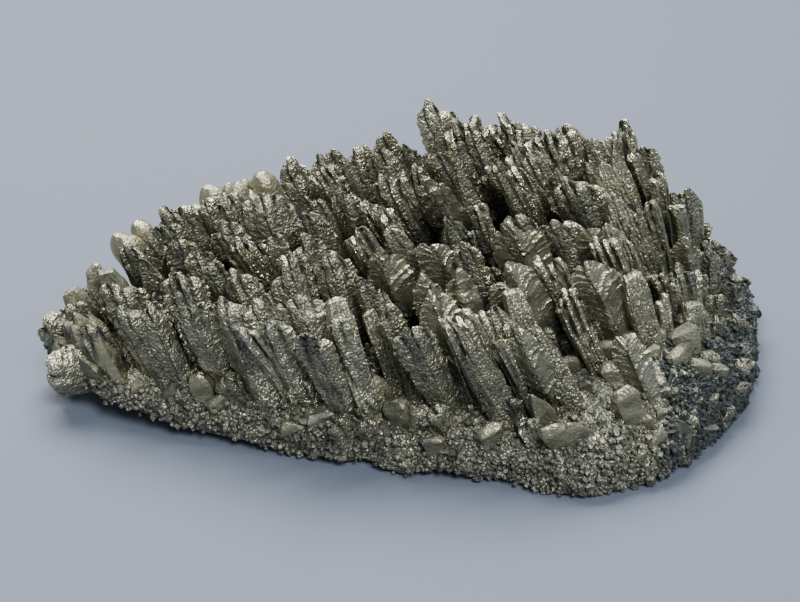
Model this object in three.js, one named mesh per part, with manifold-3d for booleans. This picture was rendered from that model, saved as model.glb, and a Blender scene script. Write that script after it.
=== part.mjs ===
// A cabinet specimen of bladed metal crystals: one granular crust, longer than it is wide, with
// about a hundred and fifty tabular crystals standing on it and leaning the same way, and lumps
// round its rim. Everything has grown together, so it is one solid.
//
// Millimetres, +Z up. X runs along the crust from its narrow end (-X) to its broad end (+X), and
// the origin lies under the middle of the specimen's box, on the surface that it rests on. The
// layout below has its own zero, and TO_ORIGIN moves it there at the end.

import * as THREE from "three";
import { mergeVertices } from "three/addons/utils/BufferGeometryUtils.js";
import Module from "manifold-3d";

const wasm = await Module();
wasm.setup();

// ---------------------------------------------------------------- driving dimensions

const ROOT_DEPTH = 3; // how far a crystal's foot is sunk in the crust
const LONGEST_CRYSTAL = 38;
const LIFT = 6; // how far the narrow end's underside stands clear of the surface below
const LIFT_STARTS_X = -34; // from here on towards +X the underside is flat
const RIM_HEIGHT = 3; // the crust's height at its very edge
const TO_ORIGIN = [-1.16, -3.8, 0];

// The crust's plan outline, as its front edge (-Y) and its back edge (+Y) at stations along X.
const FRONT_EDGE = [
  [-76, -2], [-70, -9], [-62, -15], [-41, -22], [-28, -26], [-13, -30.5], [-8, -28.5], [-2, -32],
  [16, -35], [28, -38], [40, -40], [52, -35], [60, -27], [68, -19], [75, -6], [79, 9], [80, 20],
];
const BACK_EDGE = [
  [-76, -2], [-70, 8], [-60, 17], [-40, 28], [-20, 35], [0, 41], [20, 44], [40, 47], [60, 48],
  [71, 43], [77, 34], [80, 20],
];
// Heights along X: the crust's crown, the crest that the tallest tips reach, and the front tips.
const CROWN = [[-76, 9], [-60, 11], [-40, 12], [-15, 14], [7, 15.5], [45, 17], [60, 16], [80, 9]];
const CREST = [[-78, 14], [-60, 29], [-40, 36], [-15, 41], [7, 46], [45, 45], [60, 37], [80, 10]];
const FRONT_ROW = [
  [-78, 11], [-68, 19], [-58, 26], [-40, 29], [10, 30], [25, 27], [45, 19], [60, 13], [80, 7],
];
// The lean of the crystals, as run over rise: along X at stations of x, and along Y at shares of
// the way from the front edge to the back edge.
const LEAN_ALONG = [[-78, -0.6], [-60, -0.42], [0, -0.38], [20, -0.46], [45, -0.42], [60, -0.2], [78, 0.1]];
const LEAN_ACROSS = [
  [0, -0.2], [0.05, -0.1], [0.12, 0.12], [0.2, 0.3], [0.35, 0.16], [0.55, -0.04], [0.85, 0.06], [1, 0.22],
];

// ---------------------------------------------------------------- the crystals, by habit

// Each crystal is [x, y, width] of its tip and, where it doesn't face the front, the angle by
// which it is turned about its own length. The tip's height is the canopy's at that place.
const CRYSTALS = {
  // granular blades with a rounded end
  tongue: [
    [-75, -2, 6.5], [-59, -4, 9.5], [-56, -12, 8], [-52, -12, 6.5], [-50, 20, 9.5], [-47, 5, 6.5],
    [-43, 0, 6.5], [-48, -4, 6.5], [-45, -7, 8.5], [-40, -4, 6.5], [-42, 16, 8.5], [-30, 14, 11.5],
    [-25, 27, 7], [-34, -8, 8.5], [-35, -15, 10.5], [-30, -16, 7], [-15, -5, 8], [-22, -15, 10],
    [-18, -26, 7], [-13, -23, 6.5], [-5, 24, 7], [8, 19, 6], [1, -25, 8], [35, 12, 11], [53, 31, 6],
    [-38, 7, 8], [-51, 12, 6.5], [-65, -10, 6], [62, 22, 6], [66, 14, 5.5], [-43, -15, 7],
  ],
  // broad blades stepped with ledges that run out from a middle line
  fern: [
    [-24, -6, 10], [-20, 6, 7], [5, 11, 8], [-4, -5, 9], [5, -4, 8], [6, -17, 8.5], [11, -12, 7],
    [36, -7, 12], [37, 2, 8], [22, 0.5, 11], [21, -10, 12], [22.5, -25, 8],
    [44, -20, 7], [-27, -21, 8.5], [4, -13, 7], [60, 10, 7],
  ],
  // columns with ribs along them
  rib: [
    [-7, 8, 5], [-17, 21, 5.5], [48, 35, 6], [50.5, 11, 7.5], [41, -1, 6], [-9, 0, 6], [29, -8, 6],
    [10.5, -22, 7], [55, 22, 5, 40], [59, 17, 5, 55], [33, -14, 6], [-37, 16, 6],
  ],
  // smooth plates with a blunt end
  plate: [
    [-60, 13, 6.5], [-57, 18, 5], [-58, 7, 5.5], [-70, 0, 5.5], [-42, 25, 6], [-31, 23, 6],
    [-36, 20, 5.5], [-16, 31, 6], [-4, 30, 5], [-11, 27, 6], [27, 30, 6], [35, 30, 7],
    [41, 27, 5], [32, 3, 6], [46, 10, 5], [-20, 0, 7], [12, -5, 5.5], [-2, -1, 5.5],
    [-3, -20, 5], [68, 5, 5], [-28, 2, 7],
  ],
  // thin pointed plates
  leaf: [
    [-68, -5, 5, 60], [-64, -8, 5, 60], [-71, 3, 5, 70], [-55, 3, 5], [-27, -14, 6], [12, 15, 5],
    [-9, -10, 5], [43, 18, 8], [44, 10, 7], [43, 3, 7], [13, -29, 5], [26.5, -23, 5],
    [-46, 13, 5, 30], [-12, 12, 6], [64, 28, 5.5, 30], [18, -19, 5.5], [-14, 14, 5.5],
  ],
  // blades that widen upwards into a spread of ribs
  fan: [[32, 26, 11.5], [57, 1, 9], [62, 4, 7], [-3, 13, 8], [-33, 0, 8]],
  // short thick crystals with a flat top
  block: [[-71, 6, 5], [-66, 7, 5], [-62, 2, 5], [-13, -17, 5.5], [22, -15.5, 5], [47, -6, 6], [61, -3, 5.5]],
};

// Crystals whose tips don't lie on the canopy: one that rises over the crest, and smaller ones on
// the slope in front of the blades. Each is habit, x, y and height of the tip, width.
const PLACED_CRYSTALS = [
  ["tongue", 7, 40, 46, 9],
  ["tongue", -39, -15.5, 17, 6], ["leaf", -33, -17, 13, 6], ["plate", -27, -19.5, 11, 6.5],
  ["block", -42, -17, 13, 5], ["block", -17, -24.5, 10, 6.5], ["leaf", -7.5, -16.5, 21, 5],
  ["tongue", -6, -17.5, 17, 9], ["block", 5, -19, 15, 6], ["leaf", 10, -16.5, 18, 5],
  ["plate", 37.5, -18, 16, 6], ["plate", 41, -14.5, 20, 6], ["plate", 33, -17.5, 18, 5.5],
  ["block", 45.5, -24.5, 12, 4.5], ["block", 28, -27, 12, 4], ["block", 38, -29, 12, 5],
  ["plate", 58, -8, 19, 7], ["plate", 52.5, -8, 18, 5], ["block", 56, -16.5, 14, 5],
  ["rib", 48.5, -14, 16, 7], ["block", 64, -10, 14, 5], ["leaf", -52, -13, 13, 5],
  ["tongue", -18, 34, 36, 7], ["tongue", 0, 36.5, 37, 6.5],
];

// Places left open between the blades, as x, y and radius.
const CLEARINGS = [[22, 17, 8], [-21, 9, 4.5]];

// Crystals that keep their own direction: blades that lie over the narrow end, and three long
// ribbed columns side by side at the crest. Each has its tip, width, length and the way it points.
const FREE_CRYSTALS = [
  { habit: "tongue", tip: [-75.5, -12, 9], width: 11, length: 20, towards: [-0.86, -0.34, 0.16] },
  { habit: "tongue", tip: [-77.5, -1, 15], width: 8.5, length: 16, towards: [-0.86, -0.1, 0.5] },
  { habit: "tongue", tip: [-70, 13, 15], width: 5, length: 14, towards: [-0.72, 0.5, 0.48] },
  { habit: "rib", tip: [12.5, 34.5, 45], width: 9.5, length: 41, towards: [-0.51, 0.02, 0.86] },
  { habit: "rib", tip: [19, 28, 34], width: 7.5, length: 27, towards: [-0.51, 0.02, 0.86] },
  { habit: "rib", tip: [21.5, 36, 44.5], width: 7.5, length: 40, towards: [-0.5, 0.02, 0.86] },
];

// A crystal's cross-section, clockwise from its front, in shares of half its width and thickness.
const RIDGED = [[0.1, 1], [1, -0.1], [0.6, -1], [-0.6, -1], [-1, -0.1]];
const SQUARE = [[-0.6, 1], [1, 0.5], [0.7, -1], [-1, -0.5]];

// Each habit is a flattened prism. flat is its thickness as a share of its width, and stations
// are [share of the length, share of the width, share of the thickness] from foot to tip.
const HABITS = {
  tongue: { section: RIDGED, flat: 0.5, stations: [[0, 0.62, 0.8], [0.76, 1, 1], [1, 0.55, 0.4]] },
  fern: { section: RIDGED, flat: 0.45, stations: [[0, 0.6, 0.8], [0.7, 1, 1], [1, 0.42, 0.35]] },
  fan: { section: RIDGED, flat: 0.4, stations: [[0, 0.4, 0.9], [0.85, 1, 1], [1, 0.7, 0.4]] },
  rib: { section: SQUARE, flat: 0.65, stations: [[0, 0.7, 0.8], [0.84, 1, 1], [1, 0.5, 0.45]] },
  plate: { section: SQUARE, flat: 0.5, stations: [[0, 0.8, 0.9], [0.85, 1, 1], [1, 0.6, 0.45]] },
  leaf: { section: SQUARE, flat: 0.5, stations: [[0, 0.6, 0.8], [0.55, 1, 1], [1, 0.2, 0.22]] },
  block: { section: SQUARE, flat: 0.85, stations: [[0, 0.85, 0.9], [0.78, 1, 1], [1, 0.7, 0.65]] },
};

// ---------------------------------------------------------------- small mathematics

const clamp01 = (t) => Math.min(1, Math.max(0, t));
const smooth = (t) => t * t * (3 - 2 * t);

// A repeatable number from 0 to 1 for item i, with one series for each k.
function chance(i, k) {
  const s = Math.sin(i * 12.9898 + k * 78.233) * 43758.5453;
  return s - Math.floor(s);
}

// A repeatable number from -1 to 1.
const wobble = (i, k) => 2 * chance(i, k) - 1;

// The value at x of a curve given by [x, value] stations, straight between them.
function along(stations, x) {
  if (x <= stations[0][0]) return stations[0][1];
  for (let i = 1; i < stations.length; i++) {
    const [x0, v0] = stations[i - 1];
    const [x1, v1] = stations[i];
    if (x <= x1) return v0 + ((v1 - v0) * (x - x0)) / (x1 - x0);
  }
  return stations[stations.length - 1][1];
}

// ---------------------------------------------------------------- the specimen's main surfaces

// 0 on the crust's front edge and 1 on its back edge.
function across(x, y) {
  const front = along(FRONT_EDGE, x);
  return (y - front) / Math.max(along(BACK_EDGE, x) - front, 0.001);
}

// The surface that the tips reach: it climbs from the front row to a crest and dips behind it.
function canopy(x, y) {
  const CREST_AT = 0.75;
  const DIP_FROM = 0.86;
  const DIP_RUN = 0.3;
  const DIP_DEPTH = 0.75;
  const s = across(x, y);
  const rise = clamp01(s / CREST_AT);
  const share = 0.55 * smooth(rise) + 0.45 * rise;
  const dip = 1 - DIP_DEPTH * clamp01((s - DIP_FROM) / DIP_RUN);
  const front = along(FRONT_ROW, x);
  return front + (along(CREST, x) - front) * share * dip;
}

// The crust's underside: flat where it rests, and lifted towards the narrow end.
function underside(x) {
  const run = LIFT_STARTS_X - FRONT_EDGE[0][0];
  return LIFT * smooth(clamp01((LIFT_STARTS_X - x) / run));
}

// The crust's upper surface: a flat dome with steep flanks.
function crustTop(x, y) {
  const STEEPNESS = 2.4;
  const edge = Math.abs(2 * clamp01(across(x, y)) - 1);
  const dome = Math.sqrt(1 - edge ** STEEPNESS);
  const rim = underside(x) + RIM_HEIGHT;
  return rim + Math.max(0, along(CROWN, x) - rim) * dome;
}

// The way a crystal with its tip at (x, y) has grown, from its foot to its tip.
function growth(x, y, i) {
  const SPREAD = 0.07;
  const leanX = along(LEAN_ALONG, x) + SPREAD * wobble(i, 1);
  const leanY = along(LEAN_ACROSS, across(x, y)) + SPREAD * wobble(i, 2);
  return new THREE.Vector3(leanX, leanY, 1).normalize();
}

// ---------------------------------------------------------------- solids

// The solid that a three.js geometry encloses.
function solid(geometry) {
  geometry.deleteAttribute("normal");
  geometry.deleteAttribute("uv");
  const merged = mergeVertices(geometry);
  return new wasm.Manifold(
    new wasm.Mesh({
      numProp: 3,
      vertProperties: merged.attributes.position.array,
      triVerts: Uint32Array.from(merged.index.array),
    })
  );
}

// A prism with its corners moved: place(step, corner) is where a corner of one of its steps goes,
// and the middle of an end is the mean of its corners. Corners run clockwise from the front.
function shapedPrism(corners, steps, place) {
  const geometry = new THREE.CylinderGeometry(1, 1, 1, corners, steps);
  const position = geometry.attributes.position;
  const points = [];
  for (let step = 0; step <= steps; step++) {
    const ring = [];
    for (let corner = 0; corner < corners; corner++) ring.push(place(step, corner));
    const middle = new THREE.Vector3();
    ring.forEach((p) => middle.addScaledVector(p, 1 / corners));
    points.push({ ring, middle });
  }
  for (let k = 0; k < position.count; k++) {
    const [x, y, z] = [position.getX(k), position.getY(k), position.getZ(k)];
    const { ring, middle } = points[Math.round((y + 0.5) * steps)];
    const corner = Math.round((Math.atan2(x, z) / (2 * Math.PI)) * corners);
    const p = Math.hypot(x, z) < 0.5 ? middle : ring[(corner + corners) % corners];
    position.setXYZ(k, p.x, p.y, p.z);
  }
  return solid(geometry);
}

// One crystal, from its foot along `way`, with its broad face turned by `turn` degrees.
function crystal(habit, foot, way, length, width, turn, i) {
  const SLANT = 0.12; // how much higher one side of the tip may be, as a share of the width
  const { section, flat, stations } = HABITS[habit];
  const side = new THREE.Vector3(0, -1, 0).cross(way).negate().normalize();
  side.applyAxisAngle(way, THREE.MathUtils.degToRad(turn));
  const facing = new THREE.Vector3().crossVectors(side, way);
  const slant = SLANT * width * wobble(i, 5);
  return shapedPrism(section.length, stations.length - 1, (step, corner) => {
    const [t, w, d] = stations[step];
    const [u, v] = section[corner];
    const reach = length * t + (t === 1 ? slant * u : 0);
    const p = foot.clone().addScaledVector(way, reach);
    p.addScaledVector(side, (u * w * width) / 2);
    return p.addScaledVector(facing, (v * d * width * flat) / 2);
  });
}

// A crystal with its tip at (x, y, z), rooted in the crust below it.
function standing(habit, [x, y, z], width, turn, i) {
  const STEP = 0.5;
  const USUAL_TURN = 18;
  const way = growth(x, y, i);
  const foot = new THREE.Vector3(x, y, z);
  let length = 0;
  while (length < LONGEST_CRYSTAL && foot.z > crustTop(foot.x, foot.y) - ROOT_DEPTH) {
    foot.addScaledVector(way, -STEP);
    length += STEP;
  }
  return crystal(habit, foot, way, length, width, turn ?? USUAL_TURN * wobble(i, 3), i);
}

// Smaller crystals fill the ground between the listed ones, on a staggered grid.
function fillers(tips) {
  const SPACING = 6.4;
  const STRAY = 0.8; // how far a tip may lie from its place in the grid
  const CLEARANCE = 5.9; // from every listed tip
  const [FIRST_X, LAST_X] = [-70, 78];
  const [FIRST_Y, LAST_Y] = [-30, 46];
  const [NEAREST_FRONT, NEAREST_BACK] = [0.08, 0.95]; // as shares of the way across
  const ROW_SERIES = 31; // keeps the rows' repeatable numbers apart
  const found = [];
  let row = 0;
  for (let y = FIRST_Y; y <= LAST_Y; y += SPACING) {
    row += 1;
    for (let x = FIRST_X + (row % 2) * (SPACING / 2); x <= LAST_X; x += SPACING) {
      const i = found.length + row * ROW_SERIES;
      const px = x + STRAY * wobble(i, 7);
      const py = y + STRAY * wobble(i, 8);
      const s = across(px, py);
      if (s < NEAREST_FRONT || s > NEAREST_BACK) continue;
      if (tips.some(([tx, ty]) => Math.hypot(tx - px, ty - py) < CLEARANCE)) continue;
      if (CLEARINGS.some(([cx, cy, r]) => Math.hypot(cx - px, cy - py) < r)) continue;
      const inward = clamp01(Math.min(s, 1 - s) / 0.25);
      const share = 0.55 + 0.3 * inward + 0.1 * chance(i, 6);
      found.push({ tip: [px, py, canopy(px, py) * share], width: 5 + 2 * chance(i, 9), i });
    }
  }
  return found;
}

// The crust, as cross-sections along X, with steep flanks and a craggy surface.
function crust() {
  const STEP = 4.6;
  const OVERHANG = 1.5; // how far the foot of a flank stands back under its edge
  const CRAG = 1.5; // how far a corner of a flank may stray
  const LEAST_WALL = 0.6;
  // [share of the way across, share of the height] from the crown over the front to the back
  const SECTION = [
    [0.5, 1], [0.28, 1], [0.15, 1], [0.08, 1], [0.025, 1], [0, 0.45], [0, 0], [1, 0], [1, 0.45],
    [0.975, 1], [0.92, 1], [0.85, 1], [0.72, 1],
  ];
  const first = FRONT_EDGE[0][0];
  const last = FRONT_EDGE[FRONT_EDGE.length - 1][0];
  const steps = Math.round((last - first) / STEP);
  return shapedPrism(SECTION.length, steps, (step, corner) => {
    const [share, height] = SECTION[corner];
    const i = step * SECTION.length + corner;
    const x = first + ((last - first) * step) / steps;
    const front = along(FRONT_EDGE, x);
    const back = Math.max(along(BACK_EDGE, x), front + 4);
    const y = front + (back - front) * share;
    const base = underside(x);
    if (height === 0) return new THREE.Vector3(x, y + (share < 0.5 ? OVERHANG : -OVERHANG), base);
    const z = base + (crustTop(x, y) - base) * height;
    const onFlank = Math.abs(share - 0.5) > 0.3 ? CRAG : 0;
    const craggy = Math.max(z + onFlank * wobble(i, 4), base + LEAST_WALL);
    return new THREE.Vector3(x, y + onFlank * wobble(i, 15), craggy);
  });
}

// ---------------------------------------------------------------- assembly

// Joins solids in pairs until one is left.
function unite(solids) {
  if (solids.length === 1) return solids[0];
  const half = Math.ceil(solids.length / 2);
  return unite(solids.slice(0, half)).add(unite(solids.slice(half)));
}

function cluster() {
  const solids = [crust()];
  const tips = [];
  const plant = (habit, tip, width, turn, i) => {
    tips.push(tip);
    solids.push(standing(habit, tip, width, turn, i));
  };
  for (const [habit, list] of Object.entries(CRYSTALS)) {
    for (const [x, y, width, turn] of list) {
      plant(habit, [x, y, canopy(x, y)], width, turn, tips.length);
    }
  }
  for (const [habit, x, y, z, width] of PLACED_CRYSTALS) {
    plant(habit, [x, y, z], width, undefined, tips.length);
  }
  for (const { tip, width, i } of fillers(tips)) plant("plate", tip, width, undefined, i);
  for (const { habit, tip, width, length, towards } of FREE_CRYSTALS) {
    const way = new THREE.Vector3(...towards).normalize();
    const foot = new THREE.Vector3(...tip).addScaledVector(way, -length);
    solids.push(crystal(habit, foot, way, length, width, 0, tips.length));
  }
  // Where blades enclose a pocket, the solid is kept without it.
  const bodies = unite(solids).decompose();
  return bodies.reduce((a, b) => (b.volume() > a.volume() ? b : a));
}

function geometryOf(body) {
  const mesh = body.getMesh();
  const geometry = new THREE.BufferGeometry();
  geometry.setAttribute("position", new THREE.BufferAttribute(mesh.vertProperties, mesh.numProp));
  geometry.setIndex(new THREE.BufferAttribute(mesh.triVerts, 1));
  geometry.translate(...TO_ORIGIN);
  const faceted = geometry.toNonIndexed();
  faceted.computeVertexNormals();
  return faceted;
}

const metal = new THREE.MeshStandardMaterial({ color: "#63645a", metalness: 0.85, roughness: 0.45 });
metal.name = "crystalline_metal";

const body = new THREE.Mesh(geometryOf(cluster()), metal);
body.name = "crystal_cluster";

const specimen = new THREE.Group();
specimen.name = "specimen";
specimen.add(body);

export default specimen;
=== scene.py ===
"""A cabinet specimen of bladed metal crystals on a granular crust, dressed over its CAD solid.

Lengths are worked in millimetres and turned to metres once, where a mesh gets its points. X runs
from the narrow end to the broad end, +Y from the low front row to the high crest, +Z up. The
layout has its own zero, and TO_ORIGIN moves it to the middle of the specimen's box.
"""

import math

import bmesh
import bpy
import numpy as np
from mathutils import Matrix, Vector


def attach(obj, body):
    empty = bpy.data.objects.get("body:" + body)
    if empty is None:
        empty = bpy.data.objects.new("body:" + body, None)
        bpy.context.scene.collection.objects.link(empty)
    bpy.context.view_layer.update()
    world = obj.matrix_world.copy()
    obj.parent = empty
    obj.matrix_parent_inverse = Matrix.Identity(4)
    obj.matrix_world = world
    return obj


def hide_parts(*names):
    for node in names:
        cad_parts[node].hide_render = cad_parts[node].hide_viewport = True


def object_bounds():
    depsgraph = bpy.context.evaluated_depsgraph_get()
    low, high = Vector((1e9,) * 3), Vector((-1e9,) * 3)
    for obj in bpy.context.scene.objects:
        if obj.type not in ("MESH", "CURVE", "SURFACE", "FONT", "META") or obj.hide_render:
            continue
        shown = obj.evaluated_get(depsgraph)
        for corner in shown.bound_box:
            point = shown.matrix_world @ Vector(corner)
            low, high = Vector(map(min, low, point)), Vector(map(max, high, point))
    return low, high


bl_info = {
    "name": "Metallic crystal cluster",
    "version": (1, 0, 0),
    "blender": (4, 5, 0),
    "location": "3D View > Sidebar > Crystals",
    "description": "Grows the crust, blades and grains of a metallic crystal cluster over its solid",
    "category": "Object",
}

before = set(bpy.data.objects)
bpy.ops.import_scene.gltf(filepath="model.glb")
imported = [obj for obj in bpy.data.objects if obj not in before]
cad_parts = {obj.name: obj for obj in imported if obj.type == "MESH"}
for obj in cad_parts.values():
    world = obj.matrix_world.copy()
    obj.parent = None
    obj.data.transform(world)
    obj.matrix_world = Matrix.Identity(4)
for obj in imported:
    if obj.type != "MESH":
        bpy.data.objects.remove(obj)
CAD_BOX = [list(corner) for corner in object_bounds()]
MM = 0.001
SMOOTH_BELOW = math.radians(28)

# ---------------------------------------------------------------- the layout, as the solid has it

TO_ORIGIN = np.array([-1.16, -3.8, 0.0])
ROOT_DEPTH = 3.0
LONGEST_CRYSTAL = 38.0
LIFT = 6.0
LIFT_STARTS_X = -34.0
RIM_HEIGHT = 3.0

FRONT_EDGE = [
    (-76, -2), (-70, -9), (-62, -15), (-41, -22), (-28, -26), (-13, -30.5), (-8, -28.5), (-2, -32),
    (16, -35), (28, -38), (40, -40), (52, -35), (60, -27), (68, -19), (75, -6), (79, 9), (80, 20),
]
BACK_EDGE = [
    (-76, -2), (-70, 8), (-60, 17), (-40, 28), (-20, 35), (0, 41), (20, 44), (40, 47), (60, 48),
    (71, 43), (77, 34), (80, 20),
]
CROWN = [(-76, 9), (-60, 11), (-40, 12), (-15, 14), (7, 15.5), (45, 17), (60, 16), (80, 9)]
CREST = [(-78, 14), (-60, 29), (-40, 36), (-15, 41), (7, 46), (45, 45), (60, 37), (80, 10)]
FRONT_ROW = [(-78, 11), (-68, 19), (-58, 26), (-40, 29), (10, 30), (25, 27), (45, 19), (60, 13), (80, 7)]
LEAN_ALONG = [(-78, -0.6), (-60, -0.42), (0, -0.38), (20, -0.46), (45, -0.42), (60, -0.2), (78, 0.1)]
LEAN_ACROSS = [
    (0, -0.2), (0.05, -0.1), (0.12, 0.12), (0.2, 0.3), (0.35, 0.16), (0.55, -0.04), (0.85, 0.06), (1, 0.22),
]

# Each crystal is (x, y, width) of its tip and, where it doesn't face the front, its turn.
CRYSTALS = {
    "tongue": [
        (-75, -2, 6.5), (-59, -4, 9.5), (-56, -12, 8), (-52, -12, 6.5), (-50, 20, 9.5), (-47, 5, 6.5),
        (-43, 0, 6.5), (-48, -4, 6.5), (-45, -7, 8.5), (-40, -4, 6.5), (-42, 16, 8.5), (-30, 14, 11.5),
        (-25, 27, 7), (-34, -8, 8.5), (-35, -15, 10.5), (-30, -16, 7), (-15, -5, 8), (-22, -15, 10),
        (-18, -26, 7), (-13, -23, 6.5), (-5, 24, 7), (8, 19, 6), (1, -25, 8), (35, 12, 11), (53, 31, 6),
        (-38, 7, 8), (-51, 12, 6.5), (-65, -10, 6), (62, 22, 6), (66, 14, 5.5), (-43, -15, 7),
    ],
    "fern": [
        (-24, -6, 10), (-20, 6, 7), (5, 11, 8), (-4, -5, 9), (5, -4, 8), (6, -17, 8.5), (11, -12, 7),
        (36, -7, 12), (37, 2, 8), (22, 0.5, 11), (21, -10, 12), (22.5, -25, 8),
        (44, -20, 7), (-27, -21, 8.5), (4, -13, 7), (60, 10, 7),
    ],
    "rib": [
        (-7, 8, 5), (-17, 21, 5.5), (48, 35, 6), (50.5, 11, 7.5), (41, -1, 6), (-9, 0, 6), (29, -8, 6),
        (10.5, -22, 7), (55, 22, 5, 40), (59, 17, 5, 55), (33, -14, 6), (-37, 16, 6),
    ],
    "plate": [
        (-60, 13, 6.5), (-57, 18, 5), (-58, 7, 5.5), (-70, 0, 5.5), (-42, 25, 6), (-31, 23, 6),
        (-36, 20, 5.5), (-16, 31, 6), (-4, 30, 5), (-11, 27, 6), (27, 30, 6), (35, 30, 7),
        (41, 27, 5), (32, 3, 6), (46, 10, 5), (-20, 0, 7), (12, -5, 5.5), (-2, -1, 5.5),
        (-3, -20, 5), (68, 5, 5), (-28, 2, 7),
    ],
    "leaf": [
        (-68, -5, 5, 60), (-64, -8, 5, 60), (-71, 3, 5, 70), (-55, 3, 5), (-27, -14, 6), (12, 15, 5),
        (-9, -10, 5), (43, 18, 8), (44, 10, 7), (43, 3, 7), (13, -29, 5), (26.5, -23, 5),
        (-46, 13, 5, 30), (-12, 12, 6), (64, 28, 5.5, 30), (18, -19, 5.5), (-14, 14, 5.5),
    ],
    "fan": [(32, 26, 11.5), (57, 1, 9), (62, 4, 7), (-3, 13, 8), (-33, 0, 8)],
    "block": [
        (-71, 6, 5), (-66, 7, 5), (-62, 2, 5), (-13, -17, 5.5), (22, -15.5, 5), (47, -6, 6), (61, -3, 5.5),
    ],
}

# Crystals whose tips don't lie on the canopy: one that rises over the crest, and smaller ones on
# the slope in front of the blades. Each is habit, x, y and height of the tip, width.
PLACED_CRYSTALS = [
    ("tongue", 7, 40, 46, 9),
    ("tongue", -39, -15.5, 17, 6), ("leaf", -33, -17, 13, 6), ("plate", -27, -19.5, 11, 6.5),
    ("block", -42, -17, 13, 5), ("block", -17, -24.5, 10, 6.5), ("leaf", -7.5, -16.5, 21, 5),
    ("tongue", -6, -17.5, 17, 9), ("block", 5, -19, 15, 6), ("leaf", 10, -16.5, 18, 5),
    ("plate", 37.5, -18, 16, 6), ("plate", 41, -14.5, 20, 6), ("plate", 33, -17.5, 18, 5.5),
    ("block", 45.5, -24.5, 12, 4.5), ("block", 28, -27, 12, 4), ("block", 38, -29, 12, 5),
    ("plate", 58, -8, 19, 7), ("plate", 52.5, -8, 18, 5), ("block", 56, -16.5, 14, 5),
    ("rib", 48.5, -14, 16, 7), ("block", 64, -10, 14, 5), ("leaf", -52, -13, 13, 5),
    ("tongue", -18, 34, 36, 7), ("tongue", 0, 36.5, 37, 6.5),
]

# Places between the blades that the small ground crystals leave open, as x, y and radius.
CLEARINGS = [(22, 17, 8), (-21, 9, 4.5)]

# Crystals that keep their own direction: habit, tip, width, length and the way they point.
FREE_CRYSTALS = [
    ("sprawl", (-75.5, -12, 9), 11, 20, (-0.86, -0.34, 0.16)),
    ("sprawl", (-77.5, -1, 15), 8.5, 16, (-0.86, -0.1, 0.5)),
    ("sprawl", (-70, 13, 15), 5, 14, (-0.72, 0.5, 0.48)),
    ("rib", (12.5, 34.5, 45), 9.5, 41, (-0.51, 0.02, 0.86)),
    ("rib", (19, 28, 34), 7.5, 27, (-0.51, 0.02, 0.86)),
    ("rib", (21.5, 36, 44.5), 7.5, 40, (-0.5, 0.02, 0.86)),
]

# Crystals too slender for the solid: habit, x and y of the tip, width.
SLENDER = [
    ("rib", 3, 20, 4), ("rib", -3, 5, 4), ("rib", 15.5, -19.5, 4), ("rib", -31, -22, 4),
    ("rib", 5, 23, 2.5), ("leaf", 9, 10, 4), ("leaf", 9, 6, 3.5), ("leaf", 0.5, 30.5, 3.5),
    ("leaf", 1, 1, 3.5), ("leaf", -4, -14, 4), ("plate", -45, 22, 4), ("plate", -38, 24, 4),
    ("plate", -35, 26, 4), ("plate", -8, 31, 3.5), ("plate", 41, 29, 4), ("plate", -33, 20, 3.5),
    ("tongue", -53, 8, 4), ("block", -6.5, -17, 4), ("rib", 21, -22, 3.5), ("rib", 18.5, -25, 3.5),
    ("leaf", 29, -24, 3), ("rib", 9, -24, 3), ("rib", 13, -23, 3), ("tongue", -18, 13, 3.5),
    ("leaf", 49, 8, 3.5), ("rib", 54, -5, 3.5), ("rib", 58, 0, 3.5), ("rib", 51, 29, 3.5),
    ("leaf", 46, 24, 4), ("plate", 12, 28, 4), ("tongue", 40, 22, 4), ("leaf", 33, 18, 4),
    ("rib", 16, 8, 4), ("leaf", -22, 18, 4), ("plate", -50, 8, 4), ("leaf", -60, 9, 4),
    ("rib", 25, 34, 4), ("tongue", 18, 40.5, 5.5), ("tongue", 23.5, 41, 5.5), ("tongue", 15, 31, 4.5),
    ("rib", 24, 26, 4.5), ("rib", 28, 22, 4.5), ("rib", 20, 22, 4), ("rib", 24, 17.5, 4),
    ("rib", 30, 28, 4.5), ("rib", 27, 31, 4.5), ("leaf", 21, 17, 4), ("leaf", 26, 20, 4),
]

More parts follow.
